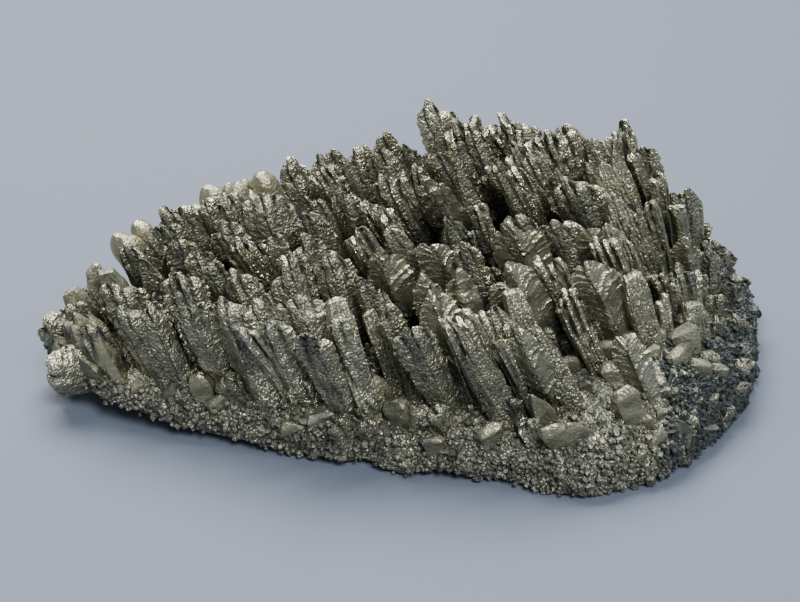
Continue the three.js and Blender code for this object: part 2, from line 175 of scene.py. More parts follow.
# The same in front of the blades and at the narrow end, with the tip's height before the width.
SLENDER_FRONT = [
    ("leaf", -35, -14.5, 17, 4), ("rib", -24, -17, 15, 3), ("block", -22.5, -19, 14, 4),
    ("leaf", -22.5, -18.5, 11, 4.5), ("tongue", -23, -16, 20, 4), ("leaf", -45.5, -18, 12, 4),
    ("leaf", -11.5, -22, 15, 4), ("plate", -10, -23.5, 12, 3.5), ("block", -13.5, -25.5, 8, 4),
    ("leaf", -1, -21.5, 12, 3), ("block", 35.5, -29, 11, 4), ("plate", 43, -21.5, 15, 4.5),
    ("plate", 52, -18.5, 13, 4), ("leaf", -60, -10, 13, 4.5), ("block", -48, -17, 10, 4),
    ("leaf", 22, -27, 14, 4), ("block", 33, -25, 14, 4), ("plate", 48, -29, 12, 4),
    ("block", 52, -26, 12, 4), ("leaf", 31, -31, 12, 4), ("plate", 43, -33, 10, 3.5),
    ("block", 59, -18, 12, 4), ("plate", 66, -13, 13, 4), ("block", -55, -15, 10, 3.5),
    ("block", 15, -26, 11, 3.5), ("leaf", 2, -27, 9, 3), ("plate", 37, -33, 9, 4),
    ("block", 47, -34, 7, 3.5), ("plate", 36, -23, 16, 5), ("plate", 31, -22, 16, 4.5),
    ("plate", 41.5, -19.5, 18, 5), ("block", 45, -18, 15, 4.5), ("plate", 47, -10, 19, 6),
    ("plate", 51, -12.5, 17, 5), ("plate", 57, -12.5, 17, 6), ("plate", 61.5, -14, 15, 5),
    ("block", 53, -15, 14, 4.5), ("plate", 60, -3, 19, 5.5), ("plate", 49, -22, 13, 4.5),
    ("plate", 55, -21, 12, 4), ("block", 40, -25, 13, 4), ("plate", 26, -24, 14, 4),
    ("leaf", -68.5, -7, 19, 5), ("leaf", -66, -9, 19, 4.5), ("leaf", -63.5, -9, 20, 5),
    ("leaf", -70.5, -4, 18, 5), ("leaf", -66.5, -12, 14, 4.5), ("leaf", -71, -8, 15, 5),
    ("leaf", -73, -5, 14.5, 5), ("leaf", -70, -11.5, 12, 4.5),
]

# Where the seeds of each list's random numbers start. The layout's own crystals count from 0.
SLENDER_SEED = 400
SLENDER_FRONT_SEED = 500
STUB_SEED = 900
RIM_SEED = 1300

# Cross-sections clockwise from the front, in shares of half the width and half the thickness.
RIDGED = [(0.1, 1), (1, -0.1), (0.6, -1), (-0.6, -1), (-1, -0.1)]
SQUARE = [(-0.6, 1), (1, 0.5), (0.7, -1), (-1, -0.5)]
ROUND = [(0, 1), (0.7, 0.7), (1, 0), (0.7, -0.7), (0, -1), (-0.7, -0.7), (-1, 0), (-0.7, 0.7)]

# Habit: section, thickness over width, stations of (share of length, of width, of thickness).
HABITS = {
    "tongue": (RIDGED, 0.5, [(0, 0.62, 0.8), (0.76, 1, 1), (0.92, 0.86, 0.78), (1, 0.55, 0.4)]),
    "fern": (RIDGED, 0.45, [(0, 0.6, 0.8), (0.7, 1, 1), (0.9, 0.8, 0.65), (1, 0.42, 0.35)]),
    "fan": (RIDGED, 0.4, [(0, 0.4, 0.9), (0.85, 1, 1), (0.96, 0.94, 0.7), (1, 0.7, 0.4)]),
    "rib": (SQUARE, 0.65, [(0, 0.7, 0.8), (0.84, 1, 1), (0.95, 0.85, 0.8), (1, 0.5, 0.45)]),
    "plate": (SQUARE, 0.5, [(0, 0.8, 0.9), (0.85, 1, 1), (1, 0.6, 0.45)]),
    "leaf": (SQUARE, 0.5, [(0, 0.6, 0.8), (0.55, 1, 1), (0.8, 0.72, 0.7), (1, 0.2, 0.22)]),
    "block": (SQUARE, 0.85, [(0, 0.85, 0.9), (0.78, 1, 1), (1, 0.7, 0.65)]),
}

HABITS["filler"] = HABITS["plate"]
HABITS["stub"] = HABITS["plate"]
HABITS["shard"] = (SQUARE, 0.5, [(0, 0.8, 0.9), (0.8, 1, 1), (0.93, 0.85, 0.75), (1, 0.5, 0.4)])
HABITS["sprawl"] = (ROUND, 0.6, [(0, 0.7, 0.8), (0.7, 1, 1), (1, 0.9, 0.85)])
HABITS["nodule"] = (ROUND, 0.8, [(0, 0.6, 0.6), (0.8, 1, 1), (1, 0.9, 0.9)])
HABITS["stump"] = HABITS["block"]
HABITS["terrace"] = HABITS["fern"]
HABITS["sliver"] = HABITS["leaf"]
HABITS["veined"] = (SQUARE, 0.5, [(0, 0.5, 0.8), (0.5, 1, 1), (0.8, 0.85, 0.7), (1, 0.35, 0.3)])

# ---------------------------------------------------------------- small mathematics


def linear(code):
    """An sRGB hex colour as linear RGBA."""
    channels = [int(code[i : i + 2], 16) / 255 for i in (1, 3, 5)]
    return tuple(c / 12.92 if c <= 0.04045 else ((c + 0.055) / 1.055) ** 2.4 for c in channels) + (1.0,)


def smooth(t):
    return t * t * (3 - 2 * t)


def chance(i, k):
    """A repeatable number from 0 to 1 for item i, with one series for each k."""
    s = math.sin(i * 12.9898 + k * 78.233) * 43758.5453
    return s - math.floor(s)


def wobble(i, k):
    return 2 * chance(i, k) - 1


def along(stations, x):
    return np.interp(x, [s[0] for s in stations], [s[1] for s in stations])


def hashed(cell, k):
    """A number from 0 to 1 for each whole-numbered cell in an (n, 3) array."""
    s = np.sin(cell @ np.array([127.1, 311.7, 74.7]) + k * 19.19) * 43758.5453
    return s - np.floor(s)


def grains_at(points, size):
    """For each point, the distance to the nearest seed of a random packing, the gap to the second
    nearest, and a number for that seed. Distances are shares of `size`."""
    q = points / size
    cell = np.floor(q)
    nearest = np.full(len(q), 9.0)
    second = np.full(len(q), 9.0)
    label = np.zeros(len(q))
    for dx in (-1, 0, 1):
        for dy in (-1, 0, 1):
            for dz in (-1, 0, 1):
                c = cell + (dx, dy, dz)
                seed = c + np.stack([hashed(c, 1), hashed(c, 2), hashed(c, 3)], axis=1)
                d = np.linalg.norm(q - seed, axis=1)
                closer = d < nearest
                second = np.where(closer, nearest, np.minimum(second, d))
                label = np.where(closer, hashed(c, 4), label)
                nearest = np.where(closer, d, nearest)
    return nearest, second - nearest, label


def cobbles(points, size):
    """Rounded bumps packed side by side, from 0 in the joints to 1 on the tops."""
    nearest, _, label = grains_at(points, size)
    return np.clip(1 - (nearest / 0.85) ** 2, 0, 1) * (0.55 + 0.45 * label)


# ---------------------------------------------------------------- the specimen's main surfaces


def across(x, y):
    front = along(FRONT_EDGE, x)
    return (y - front) / np.maximum(along(BACK_EDGE, x) - front, 0.001)


# The canopy rises to its crest at this share of the way across, partly in a smooth curve and
# partly straight, and falls by a share of its height behind the last.
CREST_AT = 0.75
CURVED = 0.55
STRAIGHT = 0.45
FALLS_FROM = 0.86
FALLS_OVER = 0.3
FALL = 0.75


def canopy(x, y):
    """The surface that the tips reach."""
    s = across(x, y)
    rise = np.clip(s / CREST_AT, 0, 1)
    share = CURVED * smooth(rise) + STRAIGHT * rise
    dip = 1 - FALL * np.clip((s - FALLS_FROM) / FALLS_OVER, 0, 1)
    front = along(FRONT_ROW, x)
    return front + (along(CREST, x) - front) * share * dip


# How far below the tips the near-black painted shade between the crystals starts and over what depth it
# becomes full, in mm.
# Depth behind the edges counts for a little more, by a factor.
DARK_FROM = 7
DARK_OVER = 9
BEHIND_EDGE = 1.2


def buried(points):
    """How deep inside the cluster points lie, for the near-black shade painted there: 0 outside, 1 deep
    down.
    """
    x, y, z = (points[:, k] for k in range(3))
    from_front = BEHIND_EDGE * (y - along(FRONT_EDGE, x))
    from_back = BEHIND_EDGE * (along(BACK_EDGE, x) - y)
    deep = np.minimum(canopy(x, y) - z, np.minimum(from_front, from_back))
    return np.clip((deep - DARK_FROM) / DARK_OVER, 0, 1)


def underside(x):
    run = LIFT_STARTS_X - FRONT_EDGE[0][0]
    return LIFT * smooth(np.clip((LIFT_STARTS_X - x) / run, 0, 1))


def crust_top(x, y):
    edge = np.abs(2 * np.clip(across(x, y), 0, 1) - 1)
    dome = np.sqrt(1 - edge**2.4)
    rim = underside(x) + RIM_HEIGHT
    return rim + np.maximum(0, along(CROWN, x) - rim) * dome


def unit(v):
    v = np.asarray(v, float)
    return v / np.linalg.norm(v)


UNEVEN_LEAN = 0.07
FOOT_STEP = 0.5


def growth(x, y, i):
    """The way a crystal with its tip at (x, y) has grown, from its foot to its tip."""
    lean_x = along(LEAN_ALONG, x) + UNEVEN_LEAN * wobble(i, 1)
    lean_y = along(LEAN_ACROSS, across(x, y)) + UNEVEN_LEAN * wobble(i, 2)
    return unit((lean_x, lean_y, 1))


def foot_below(tip, way):
    """Where a crystal with that tip is rooted in the crust, and its length."""
    foot = np.array(tip, float)
    length = 0.0
    while length < LONGEST_CRYSTAL and foot[2] > crust_top(foot[0], foot[1]) - ROOT_DEPTH:
        foot = foot - FOOT_STEP * way
        length += FOOT_STEP
    return foot, length


# The grids of the small ground crystals, in mm: the spacing, how far they keep from other tips
# and the first row's y. The last x and y, and how far a crystal strays, are the same for both.
FILLER_GRID = (6.4, 5.9, -30)
STUB_GRID = (4.6, 3.9, -32)
FIRST_X = -70
LAST_X = 78
LAST_Y = 46
STRAYS = 0.8
SEEDS_PER_ROW = 31
FRONTMOST = 0.08
BACKMOST = 0.95


def fillers(tips, grid, first_seed):
    """Tips for smaller crystals on the ground between the others, on a staggered grid."""
    spacing, clearance, y = grid
    found = []
    row = 0
    while y <= LAST_Y:
        row += 1
        x = FIRST_X + (row % 2) * (spacing / 2)
        while x <= LAST_X:
            i = len(found) + row * SEEDS_PER_ROW + first_seed
            px = x + STRAYS * wobble(i, 7)
            py = y + STRAYS * wobble(i, 8)
            s = float(across(px, py))
            near = any(math.hypot(tx - px, ty - py) < clearance for tx, ty in tips)
            near = near or any(math.hypot(cx - px, cy - py) < r for cx, cy, r in CLEARINGS)
            if FRONTMOST <= s <= BACKMOST and not near:
                # They stand lower near the edges.
                inward = min(1.0, min(s, 1 - s) / 0.25)
                share = 0.55 + 0.3 * inward + 0.1 * chance(i, 6)
                found.append(((px, py, float(canopy(px, py)) * share), 5 + 2 * chance(i, 9), i))
            x += spacing
        y += spacing
    return found


# ---------------------------------------------------------------- working in edit mode


def deselect_all():
    if bpy.context.mode != "OBJECT":
        bpy.ops.object.mode_set(mode="OBJECT")
    bpy.ops.object.select_all(action="DESELECT")


def select_only(things):
    """Selects these objects and nothing else, the first as the active one."""
    deselect_all()
    for thing in things:
        thing.select_set(True)
    bpy.context.view_layer.objects.active = things[0]


def joined(things):
    select_only(things)
    bpy.ops.object.join()
    return bpy.context.object


def copy_with_mesh(thing):
    copy = thing.copy()
    copy.data = thing.data.copy()
    bpy.context.collection.objects.link(copy)
    return copy


def select_where(kind, test):
    """In edit mode, selects the active mesh's edges or faces that pass a test, and nothing else."""
    bpy.ops.mesh.select_mode(type=kind)
    bpy.ops.mesh.select_all(action="DESELECT")
    shape = bmesh.from_edit_mesh(bpy.context.object.data)
    for part in shape.edges if kind == "EDGE" else shape.faces:
        if test(part):
            part.select_set(True)
    bmesh.update_edit_mesh(bpy.context.object.data)


def is_upright(edge):
    return abs(edge.verts[0].co.z - edge.verts[1].co.z) > 0.5


# The share of a blank's top that its rings take up, and how closely its rows crowd at the tip.
RINGS_TAKE = 0.84
CROWDING = 1.4


def make_blank(sides, rows, rings):
    """An upright prism, its wall cut in rows and its top in rings, from which crystals are shaped."""
    deselect_all()
    bpy.ops.mesh.primitive_cylinder_add(vertices=sides, radius=1, depth=1, location=(0, 0, 0.5))
    bpy.ops.object.transform_apply(location=True, rotation=True, scale=True)
    bpy.ops.object.mode_set(mode="EDIT")
    select_where("EDGE", is_upright)
    bpy.ops.mesh.subdivide(number_cuts=rows - 1)
    select_where("FACE", lambda face: face.normal.z > 0.5)
    for _ in range(rings):
        bpy.ops.mesh.inset(thickness=RINGS_TAKE / rings)
    bpy.ops.mesh.poke()
    bpy.ops.object.mode_set(mode="OBJECT")
    blank = bpy.context.object
    points = corners_of(blank.data)
    return {
        "object": blank,
        "share": (np.arctan2(points[:, 0], -points[:, 1]) / (2 * math.pi)) % 1,
        "rise": 1 - (1 - np.clip(points[:, 2], 0, 1)) ** CROWDING,
        "ring": np.minimum(1, np.hypot(points[:, 0], points[:, 1])),
        "sections": {},
    }


def corners_of(mesh):
    flat = np.empty(len(mesh.vertices) * 3)
    mesh.vertices.foreach_get("co", flat)
    return flat.reshape(-1, 3)


def in_metres(points):
    """The layout's millimetres as the frame's metres, kept inside the solid's box."""
    return np.clip((points + TO_ORIGIN) * MM, CAD_BOX[0], CAD_BOX[1])


def set_corners(mesh, points):
    mesh.vertices.foreach_set("co", np.ascontiguousarray(points, dtype=np.float32).ravel())
    mesh.update()


def add_values(mesh, name, values):
    """A named value or vector for each vertex, for the materials to read."""
    values = np.asarray(values, dtype=np.float32)
    kind, key = ("FLOAT", "value") if values.ndim == 1 else ("FLOAT_VECTOR", "vector")
    layer = mesh.attributes.new(name, kind, "POINT")
    layer.data.foreach_set(key, np.ascontiguousarray(values).ravel())


def remove(thing):
    mesh = thing.data
    bpy.data.objects.remove(thing)
    bpy.data.meshes.remove(mesh)


# ---------------------------------------------------------------- the crystals' surfaces


# Shares of the way round a section over which its corners are eased and its slope is measured.
EASED_OVER = 0.025
SLOPE_OVER = 0.02


def section_at(section, flat, share):
    """Points round a cross-section of half-width 1, with its corners eased, and the way out."""
    points = np.array([(u, -v * flat) for u, v in section])
    closed = np.vstack([points, points[:1]])
    run = np.concatenate([[0], np.cumsum(np.linalg.norm(np.diff(closed, axis=0), axis=1))])
    run /= run[-1]

    def at(s):
        s = s % 1
        return np.stack([np.interp(s, run, closed[:, 0]), np.interp(s, run, closed[:, 1])], axis=1)

    eased = (at(share - EASED_OVER) + 2 * at(share) + at(share + EASED_OVER)) / 4
    slope = at(share + SLOPE_OVER) - at(share - SLOPE_OVER)
    out = np.stack([slope[:, 1], -slope[:, 0]], axis=1)
    return eased, out / np.maximum(np.linalg.norm(out, axis=1), 1e-9)[:, None]


# What each relief below is given of a crystal's points: a across it and b down from its tip, in
# mm, front for the side that faces forward, half its half-width, local for noise, middle the
# midrib's place and lanes what the next function gives. It may set run, the distance that the
# material's fine lines are drawn along. It gives how far each point stands out, in mm.


def lanes(here, size, seed):
    """Splits a blade across its width into fused sub-blades of about that width.

    Gives each point's distance from the middle of its sub-blade, from 0 to 1 at the cleft beside
    it, two random numbers for the sub-blade and one for that cleft.
    """
    size = size * (1 + 0.2 * wobble(seed, 28))
    down = here["b"]
    sway = 0.12 * size * np.sin(down / 4 + seed) + 0.06 * size * np.sin(down / 1.3 + 2 * seed)
    q = (here["a"] + sway) / size + chance(seed, 24)
    lane = np.floor(q)
    own = np.full(len(q), seed % 89.0)
    cell = np.stack([lane, own, np.zeros(len(q))], axis=1)
    beside = np.stack([np.round(q), own, np.ones(len(q))], axis=1)
    return np.abs(2 * (q - lane) - 1), hashed(cell, 7), hashed(cell, 8), hashed(beside, 9)


def swaying(local, size):
    """A slow uneven drift from -1 to 1 over a crystal's own points."""
    x, y, z = (local[:, k] / size for k in range(3))
    first = np.sin(1.7 * x + 1.3 * z + np.sin(2.1 * y))
    second = np.sin(2.3 * z - 1.9 * x + 2 * np.sin(1.1 * z + y))
    return 0.5 * first + 0.5 * second


def ledged(here, size):
    """Leaflets that arch outward from a midrib, as on a fern, each lapping over the next."""
    pitch = size * (1 + 0.12 * wobble(here["seed"], 21))
    away = np.abs(here["a"] - here["middle"])
    run = here["b"] + 1.5 * away - 0.2 * away**2 + 0.7 * swaying(here["local"], 4.0)
    q = run / pitch + chance(here["seed"], 23)
    side = np.sign(here["a"] - here["middle"])
    leaflet = np.stack([np.floor(q), side, np.sign(here["front"])], axis=1)
    lap = (0.24 + 0.3 * hashed(leaflet, 5)) * (1 - q % 1) ** 0.7
    rib = 0.35 * np.exp(-((away / 0.5) ** 2))
    edge = np.clip(away / here["half"] - 0.5, 0, 1)
    here["run"] = q * size
    return lap * (1 + 1.6 * edge) + rib + 0.1 * cobbles(here["local"], 1.5) - 0.4


def terraced(here, size):
    """Low terraces one behind the other, like the lines of a fingerprint."""
    drift = swaying(here["local"], 3.0)
    run = here["b"] + 0.09 * (here["a"] - here["middle"]) ** 2 + 0.8 * drift
    here["run"] = run / 0.75
    return 0.3 * (1 - (run / (1.5 * size)) % 1) + 0.25 * cobbles(here["local"], 1.8) - 0.3


def ribbed(here, size):
    """Ribs along the length, each standing out and stepped by its own amount."""
    out, stand, shift, _ = here["lanes"]
    stepped = 0.16 * ((here["b"] / (1.8 * size + 2 * shift) + stand) % 1)
    rib = 0.5 * (1 - out**2) ** 0.6 + 0.5 * stand
    return rib - stepped + 0.1 * cobbles(here["local"], 1.3) - 0.5


def scallops(here, pitch):
    """Rounded lobes down the two edges of a blade, with sharp notches between them."""
    side = np.sign(here["a"])
    drift = 0.8 * np.sin(here["b"] / 2.3 + here["seed"] + side)
    lobes = (here["b"] + drift) / pitch + chance(here["seed"], 29) + 0.3 * side
    lobe = np.abs(np.sin(math.pi * lobes))
    return (lobe**0.7 - 0.6) * (np.abs(here["a"]) / here["half"]) ** 5


def granular(here, size):
    """Nearly flat faces with grains packed over them, coarsest on the scalloped edges."""
    edge = 0.5 + 0.9 * (np.abs(here["a"]) / here["half"]) ** 2
    coarse = cobbles(here["local"], size * 1.5) * 0.3
    grains = (coarse + cobbles(here["local"] + 50, size) * 0.28) * edge
    away = np.abs(here["a"] - here["middle"])
    here["run"] = here["b"] + 0.9 * away + 0.6 * swaying(here["local"], 3.0)
    slow = 0.22 * swaying(here["local"], 4.5)
    return grains + 1.2 * scallops(here, 1.2 * size) + slow - 0.22


def striated(here, size):
    """A grainy face with faint ribs along it."""
    out, stand, _, _ = lanes(here, 0.8 * size, here["seed"])
    return 0.16 * (1 - out**2) + 0.18 * stand + 0.14 * cobbles(here["local"], 1.4) - 0.3


def veined(here, size):
    """Fine veins along a leaf and a raised bead round its edge."""
    out, stand, _, _ = lanes(here, 0.8 * size, here["seed"])
    bead = 0.4 * np.exp(-(((np.abs(here["a"]) / here["half"] - 0.85) / 0.12) ** 2))
    return 0.22 * (1 - out**2) + 0.12 * stand + bead + 0.12 * cobbles(here["local"], 1.2) - 0.3


def plain(here, size):
    """Flat faces with a few low growth steps across them."""
    step = np.floor(here["b"] / (2.5 * size) + 0.2 * here["a"] + chance(here["seed"], 25))
    return np.minimum(0.14 * step, 0.42) + 0.3 * swaying(here["local"], 3.5) - 0.2


def swollen(here, size):
    """A smooth rounded surface with shallow dents."""
    return 0.5 * cobbles(here["local"], size * 3) - 0.2


# Habit: its relief, the width of its sub-blades in mm, how unequal their tips are, in shares of
# the blade's width, how deep the clefts between them and how far down they reach, in mm, the
# slope of the tip's top and the radius of its rounded corners, both in shares of the width.
LOOKS = {
    "tongue": (granular, 2.6, 0.26, 0.8, 12, 0.1, 0.4),
    "fern": (ledged, 5.5, 0.12, 0.5, 9, 0.1, 0.34),
    "terrace": (terraced, 3.6, 0.2, 0.5, 9, 0.1, 0.36),
    "fan": (ribbed, 2.1, 0.25, 0.9, 14, 0.1, 0.16),
    "rib": (ribbed, 1.9, 0.42, 0.8, 40, 0.08, 0.18),
    "plate": (plain, 9.0, 0.0, 0.0, 9, 0.05, 0.1),
    "leaf": (plain, 9.0, 0.0, 0.0, 9, 0.1, 0.1),
    "sliver": (granular, 2.6, 0.2, 0.6, 9, 0.1, 0.2),
    "veined": (veined, 9.0, 0.0, 0.0, 9, 0.1, 0.25),
    "block": (plain, 9.0, 0.0, 0.0, 9, 0.08, 0.1),
    "stump": (striated, 9.0, 0.0, 0.0, 9, 0.1, 0.1),
    "nodule": (swollen, 9.0, 0.0, 0.0, 9, 0.06, 0.6),
    "shard": (granular, 2.6, 0.35, 0.7, 11, 0.1, 0.24),
    "sprawl": (granular, 5.0, 0.4, 0.4, 5, 0.06, 0.35),
    "filler": (granular, 2.8, 0.25, 0.7, 9, 0.1, 0.28),
    "stub": (granular, 2.4, 0.25, 0.5, 9, 0.1, 0.25),
}
# A crystal is this much wider than in the solid, because its outline is rounded and cut by clefts.
WIDER = 1.16
# The tip's slant and how far down the tip's form reaches, in shares of the width.
SLANT = 0.12
TIP_REACH = 0.75
# How long the rounded ends of the sub-blades are, in shares of their width.
FINGERTIP = 0.45
# Shorter crystals than this, in mm, have a lower tip, and narrower ones less relief.
FULL_LENGTH = 15
FULL_WIDTH = 11
# The share of the length, from the foot up, over which the relief grows to its full height.
RELIEF_FROM_FOOT = 0.08
# How far a blade bows on its way up, as a share of its length, and how far it twists, in radians.
BOW = 0.03
TWIST = 0.16
# The wall of a cleft: where it starts, from 0 in a sub-blade's middle to 1, and how wide it is.
CLEFT_FROM = 0.7
CLEFT_WALL = 0.25


def shape_crystal(blank, habit, foot, way, turn, length, width, seed, sizes):
    """One crystal shaped from a blank: its points in millimetres, and the values on them.

    a runs across the crystal, c through its thickness, b down from the tip and z up from the foot.
    """
    section, flat, stations = HABITS[habit]
    relief, lane_width, unequal, cleft, reach, dome, corner = LOOKS[habit]
    if habit not in blank["sections"]:
        blank["sections"][habit] = section_at(section, flat, blank["share"])
    outline, out = blank["sections"][habit]
    rise, ring = blank["rise"], blank["ring"]
    stops = np.array(stations)
    width = width * WIDER
    half = width / 2
    a = outline[:, 0] * half * np.interp(rise, stops[:, 0], stops[:, 1]) * ring
    c = outline[:, 1] * half * np.interp(rise, stops[:, 0], stops[:, 2]) * ring
    stub = min(1.0, length / FULL_LENGTH)
    length = length + (0.45 * unequal + 0.3 * dome) * width * stub
    slant = SLANT * width * wobble(seed, 5)
    b = length - rise * length
    near_tip = np.clip(1 - b / (TIP_REACH * width), 0, 1)
    # The tip is rounded off in outline, and less so in thickness.
    inset = 1 - np.clip((b + 0.07 * width) / max(corner * width, 0.01), 0, 1)
    rounding = np.sqrt(1 - inset**2)
    a = a * rounding
    c = c * (0.5 + 0.5 * rounding)
    here = {
        "a": a,
        "b": b,
        "front": -out[:, 1],
        "half": half,
        "seed": seed,
        "local": np.stack([a, c, b], axis=1) + 37.0 * (seed % 53),
        "middle": half * (0.1 + 0.2 * wobble(seed, 22)),
    }
    here["lanes"] = lanes(here, lane_width, seed)
    out_of_lane, stand, drop, length_of_cleft = here["lanes"]
    fingertip = 0
    if cleft:
        fingertip = FINGERTIP * min(lane_width, width) * (1 - np.sqrt(1 - 0.98 * out_of_lane**2))
    z = rise * length + near_tip * slant * outline[:, 0] * ring
    z = z - near_tip * stub * (dome * width * ring**2 + unequal * width * drop + fingertip)
    # The clefts are deepest at the tip and close further down, each at its own depth.
    split = np.exp(-b / (reach * (0.5 + length_of_cleft)))
    lift = relief(here, sizes[habit])
    lift = lift + split * cleft * ((stand - 0.5) * 0.9 - out_of_lane**4)
    joint = np.clip((out_of_lane - CLEFT_FROM) / CLEFT_WALL, 0, 1) * split * cleft
    raised = lift * np.clip(rise / RELIEF_FROM_FOOT, 0, 1) * min(1.0, 0.35 + width / FULL_WIDTH)
    on_wall = np.where(ring > 0.99, 1.0, 0.0)
    a = a + out[:, 0] * raised * on_wall
    c = c + out[:, 1] * raised * on_wall
    z = z + raised * (1 - on_wall)
    bow = BOW * length * wobble(seed, 26) * np.sin(math.pi * rise)
    twist = TWIST * wobble(seed, 27) * rise
    turned_a = a * np.cos(twist) - c * np.sin(twist) + bow
    turned_c = a * np.sin(twist) + c * np.cos(twist) + 0.5 * bow
    side = unit(np.cross(way, (0, -1, 0)))
    angle = math.radians(turn)
    side = side * math.cos(angle) + np.cross(way, side) * math.sin(angle)
    back = np.cross(way, side)
    points = foot + turned_a[:, None] * side + turned_c[:, None] * back + z[:, None] * way
    values = {
        "growth": np.stack([here["a"], here.get("run", b), np.full(len(b), float(seed % 61))], axis=1),
        # relief sets how much film, oxide and dust with painted shade, gathers on a point; the broad end's
        # flank gets more.
        "relief": np.clip(lift + 0.5, 0, 1) * (1 - 0.5 * on_flank(points)),
        "cleft": joint,
        # depth paints near-black shade deep between the crystals.
        "depth": buried(points),
    }
    return points, values


# Sides, rows and rings of the blanks, and the least width and length that each is for, in mm.
BLANK_SIZES = {
    "large": ((48, 54, 3), 7.4, 16),
    "medium": ((32, 42, 3), 5.2, 13),
    "small": ((22, 28, 2), 3.6, 8),
    "tiny": ((14, 16, 2), 0, 0),
}
BLANKS = {}


def blank_for(width, length):
    name = next(n for n, (_, w, l) in BLANK_SIZES.items() if width >= w and length >= l)
    if name not in BLANKS:
        BLANKS[name] = make_blank(*BLANK_SIZES[name][0])
    return BLANKS[name]


def kind_of(habit, x, y):
    """How a crystal of the layout looks where it stands."""
    if habit == "plate":
        if x < -28 and y > 10:
            return "nodule"
        return "plate" if x > 30 and y < 0 else "shard"
    if habit == "block" and -20 < x and y > -17.5:
        return "stump"
    if habit == "leaf":
        if x > 30 and y > 0:
            return "veined"
        return "leaf" if x > 30 or x < -60 else "sliver"
    if habit == "fern":
        if x < -10:
            return "tongue"
        return "terrace" if (x, y) in TERRACED else "fern"
    return habit


# The fern blades, by their tips, that have terraces instead of leaflets.
TERRACED = [(37, 2), (5, 11), (11, -12)]
# The habits that have grown last and are always clean.
BRIGHTEST = ("fern", "terrace")
RIM_KINDS = ("tongue", "leaf", "shard", "rib", "shard", "tongue", "plate", "leaf")
# Rows of rim crystals: distance behind the edge, height of the tips over the underside, spacing, in
# mm, and from which x. They end at the last x and keep clear of other tips.
FRONT_RIM = [
    (1.6, 9, 4.0, -66), (4.0, 13.5, 4.3, -66), (7.0, 18, 4.6, -66), (10.6, 21.5, 5.2, -50),
    (14.6, 21.5, 5.2, 40), (18.8, 22, 5.2, 46), (23.0, 22, 5.2, 52),
]
BACK_RIM = [(2.0, 10, 4.6, -60), (5.5, 15, 5.0, -50), (9.0, 21, 5.4, -45)]
LAST_RIM_X = 74
RIM_CLEARANCE = 3.2
# Heights of the ground crystals, as shares of what their grid gives them.
FILLER_HEIGHT = 0.92
STUB_HEIGHT = 0.78
# How far, in degrees, large and small crystals may turn from facing the front.
LARGE_TURN = 18
SMALL_TURN = 40
# Rim crystals are shaped from the blank of narrower ones, by this factor.
PLAINER_RIM = 0.7
# How much of the gaps' painted shade there is on crystals that stand clear of the others.
STANDS_CLEAR = 0.2
RIM_HEIGHTS = [(-66, 0.85), (-45, 0.95), (20, 1), (50, 0.86), (70, 0.72), (80, 0.6)]


def rim_crystals(tips):
    """Short crystals that stand in rows close inside the rim, lower toward the edge."""
    found = []
    for edge, sign, rows in ((FRONT_EDGE, 1, FRONT_RIM), (BACK_EDGE, -1, BACK_RIM)):
        for inward, height, spacing, x in rows:
            while x < LAST_RIM_X:
                i = RIM_SEED + len(found)
                px = x + 1.3 * wobble(i, 7)
                py = float(along(edge, px)) + sign * (inward + 1.2 * wobble(i, 8))
                clear = all(math.hypot(tx - px, ty - py) > RIM_CLEARANCE for tx, ty in tips)
                if clear and 0.01 < across(px, py) < 0.99:
                    above = (height + 2.2 * wobble(i, 9)) * float(along(RIM_HEIGHTS, px))
                    z = float(underside(px)) + above
                    kind = RIM_KINDS[int(chance(i, 10) * len(RIM_KINDS))]
                    kind = kind if sign > 0 or kind != "plate" else "shard"
                    found.append((kind, (px, py, z), 4.2 + 2.2 * chance(i, 11), i))
                x += spacing
    return found


def planting():
    """Every crystal as (habit, tip, width, turn, seed, fixed), in the order of their seeds.

    fixed is the length and way of a blade that doesn't stand in the crust below its tip.
    """
    plants = []
    for habit, rows in CRYSTALS.items():
        for x, y, width, *turn in rows:
            tip = (x, y, float(canopy(x, y)))
            kind = kind_of(habit, x, y)
            plants.append((kind, tip, width, turn[0] if turn else None, len(plants), None))
    for habit, x, y, z, width in PLACED_CRYSTALS:
        plants.append((kind_of(habit, x, y), (x, y, z), width, None, len(plants), None))
    tips = [plant[1][:2] for plant in plants]
    for tip, width, i in fillers(tips, FILLER_GRID, 0):
        plants.append(("filler", (tip[0], tip[1], tip[2] * FILLER_HEIGHT), width, None, i, None))
        tips.append(tip[:2])
    for habit, tip, width, length, towards in FREE_CRYSTALS:
        plants.append((habit, tip, width, 0, len(tips), (length, unit(towards))))
        tips.append(tip[:2])
    for k, (habit, x, y, width) in enumerate(SLENDER):
        height = float(canopy(x, y)) * (0.9 + 0.08 * chance(k, 31))
        kind = kind_of(habit, x, y)
        plants.append((kind, (x, y, height), width, None, SLENDER_SEED + k, None))
        tips.append((x, y))
    for k, (habit, x, y, z, width) in enumerate(SLENDER_FRONT):
        plants.append((kind_of(habit, x, y), (x, y, z), width, None, SLENDER_FRONT_SEED + k, None))
        tips.append((x, y))
    for kind, tip, width, i in rim_crystals(tips):
        plants.append((kind, tip, width, None, i, None))
        tips.append(tip[:2])
    for tip, width, i in fillers(tips, STUB_GRID, STUB_SEED):
        plants.append(("stub", (tip[0], tip[1], tip[2] * STUB_HEIGHT), width * 0.75, None, i, None))
    return plants


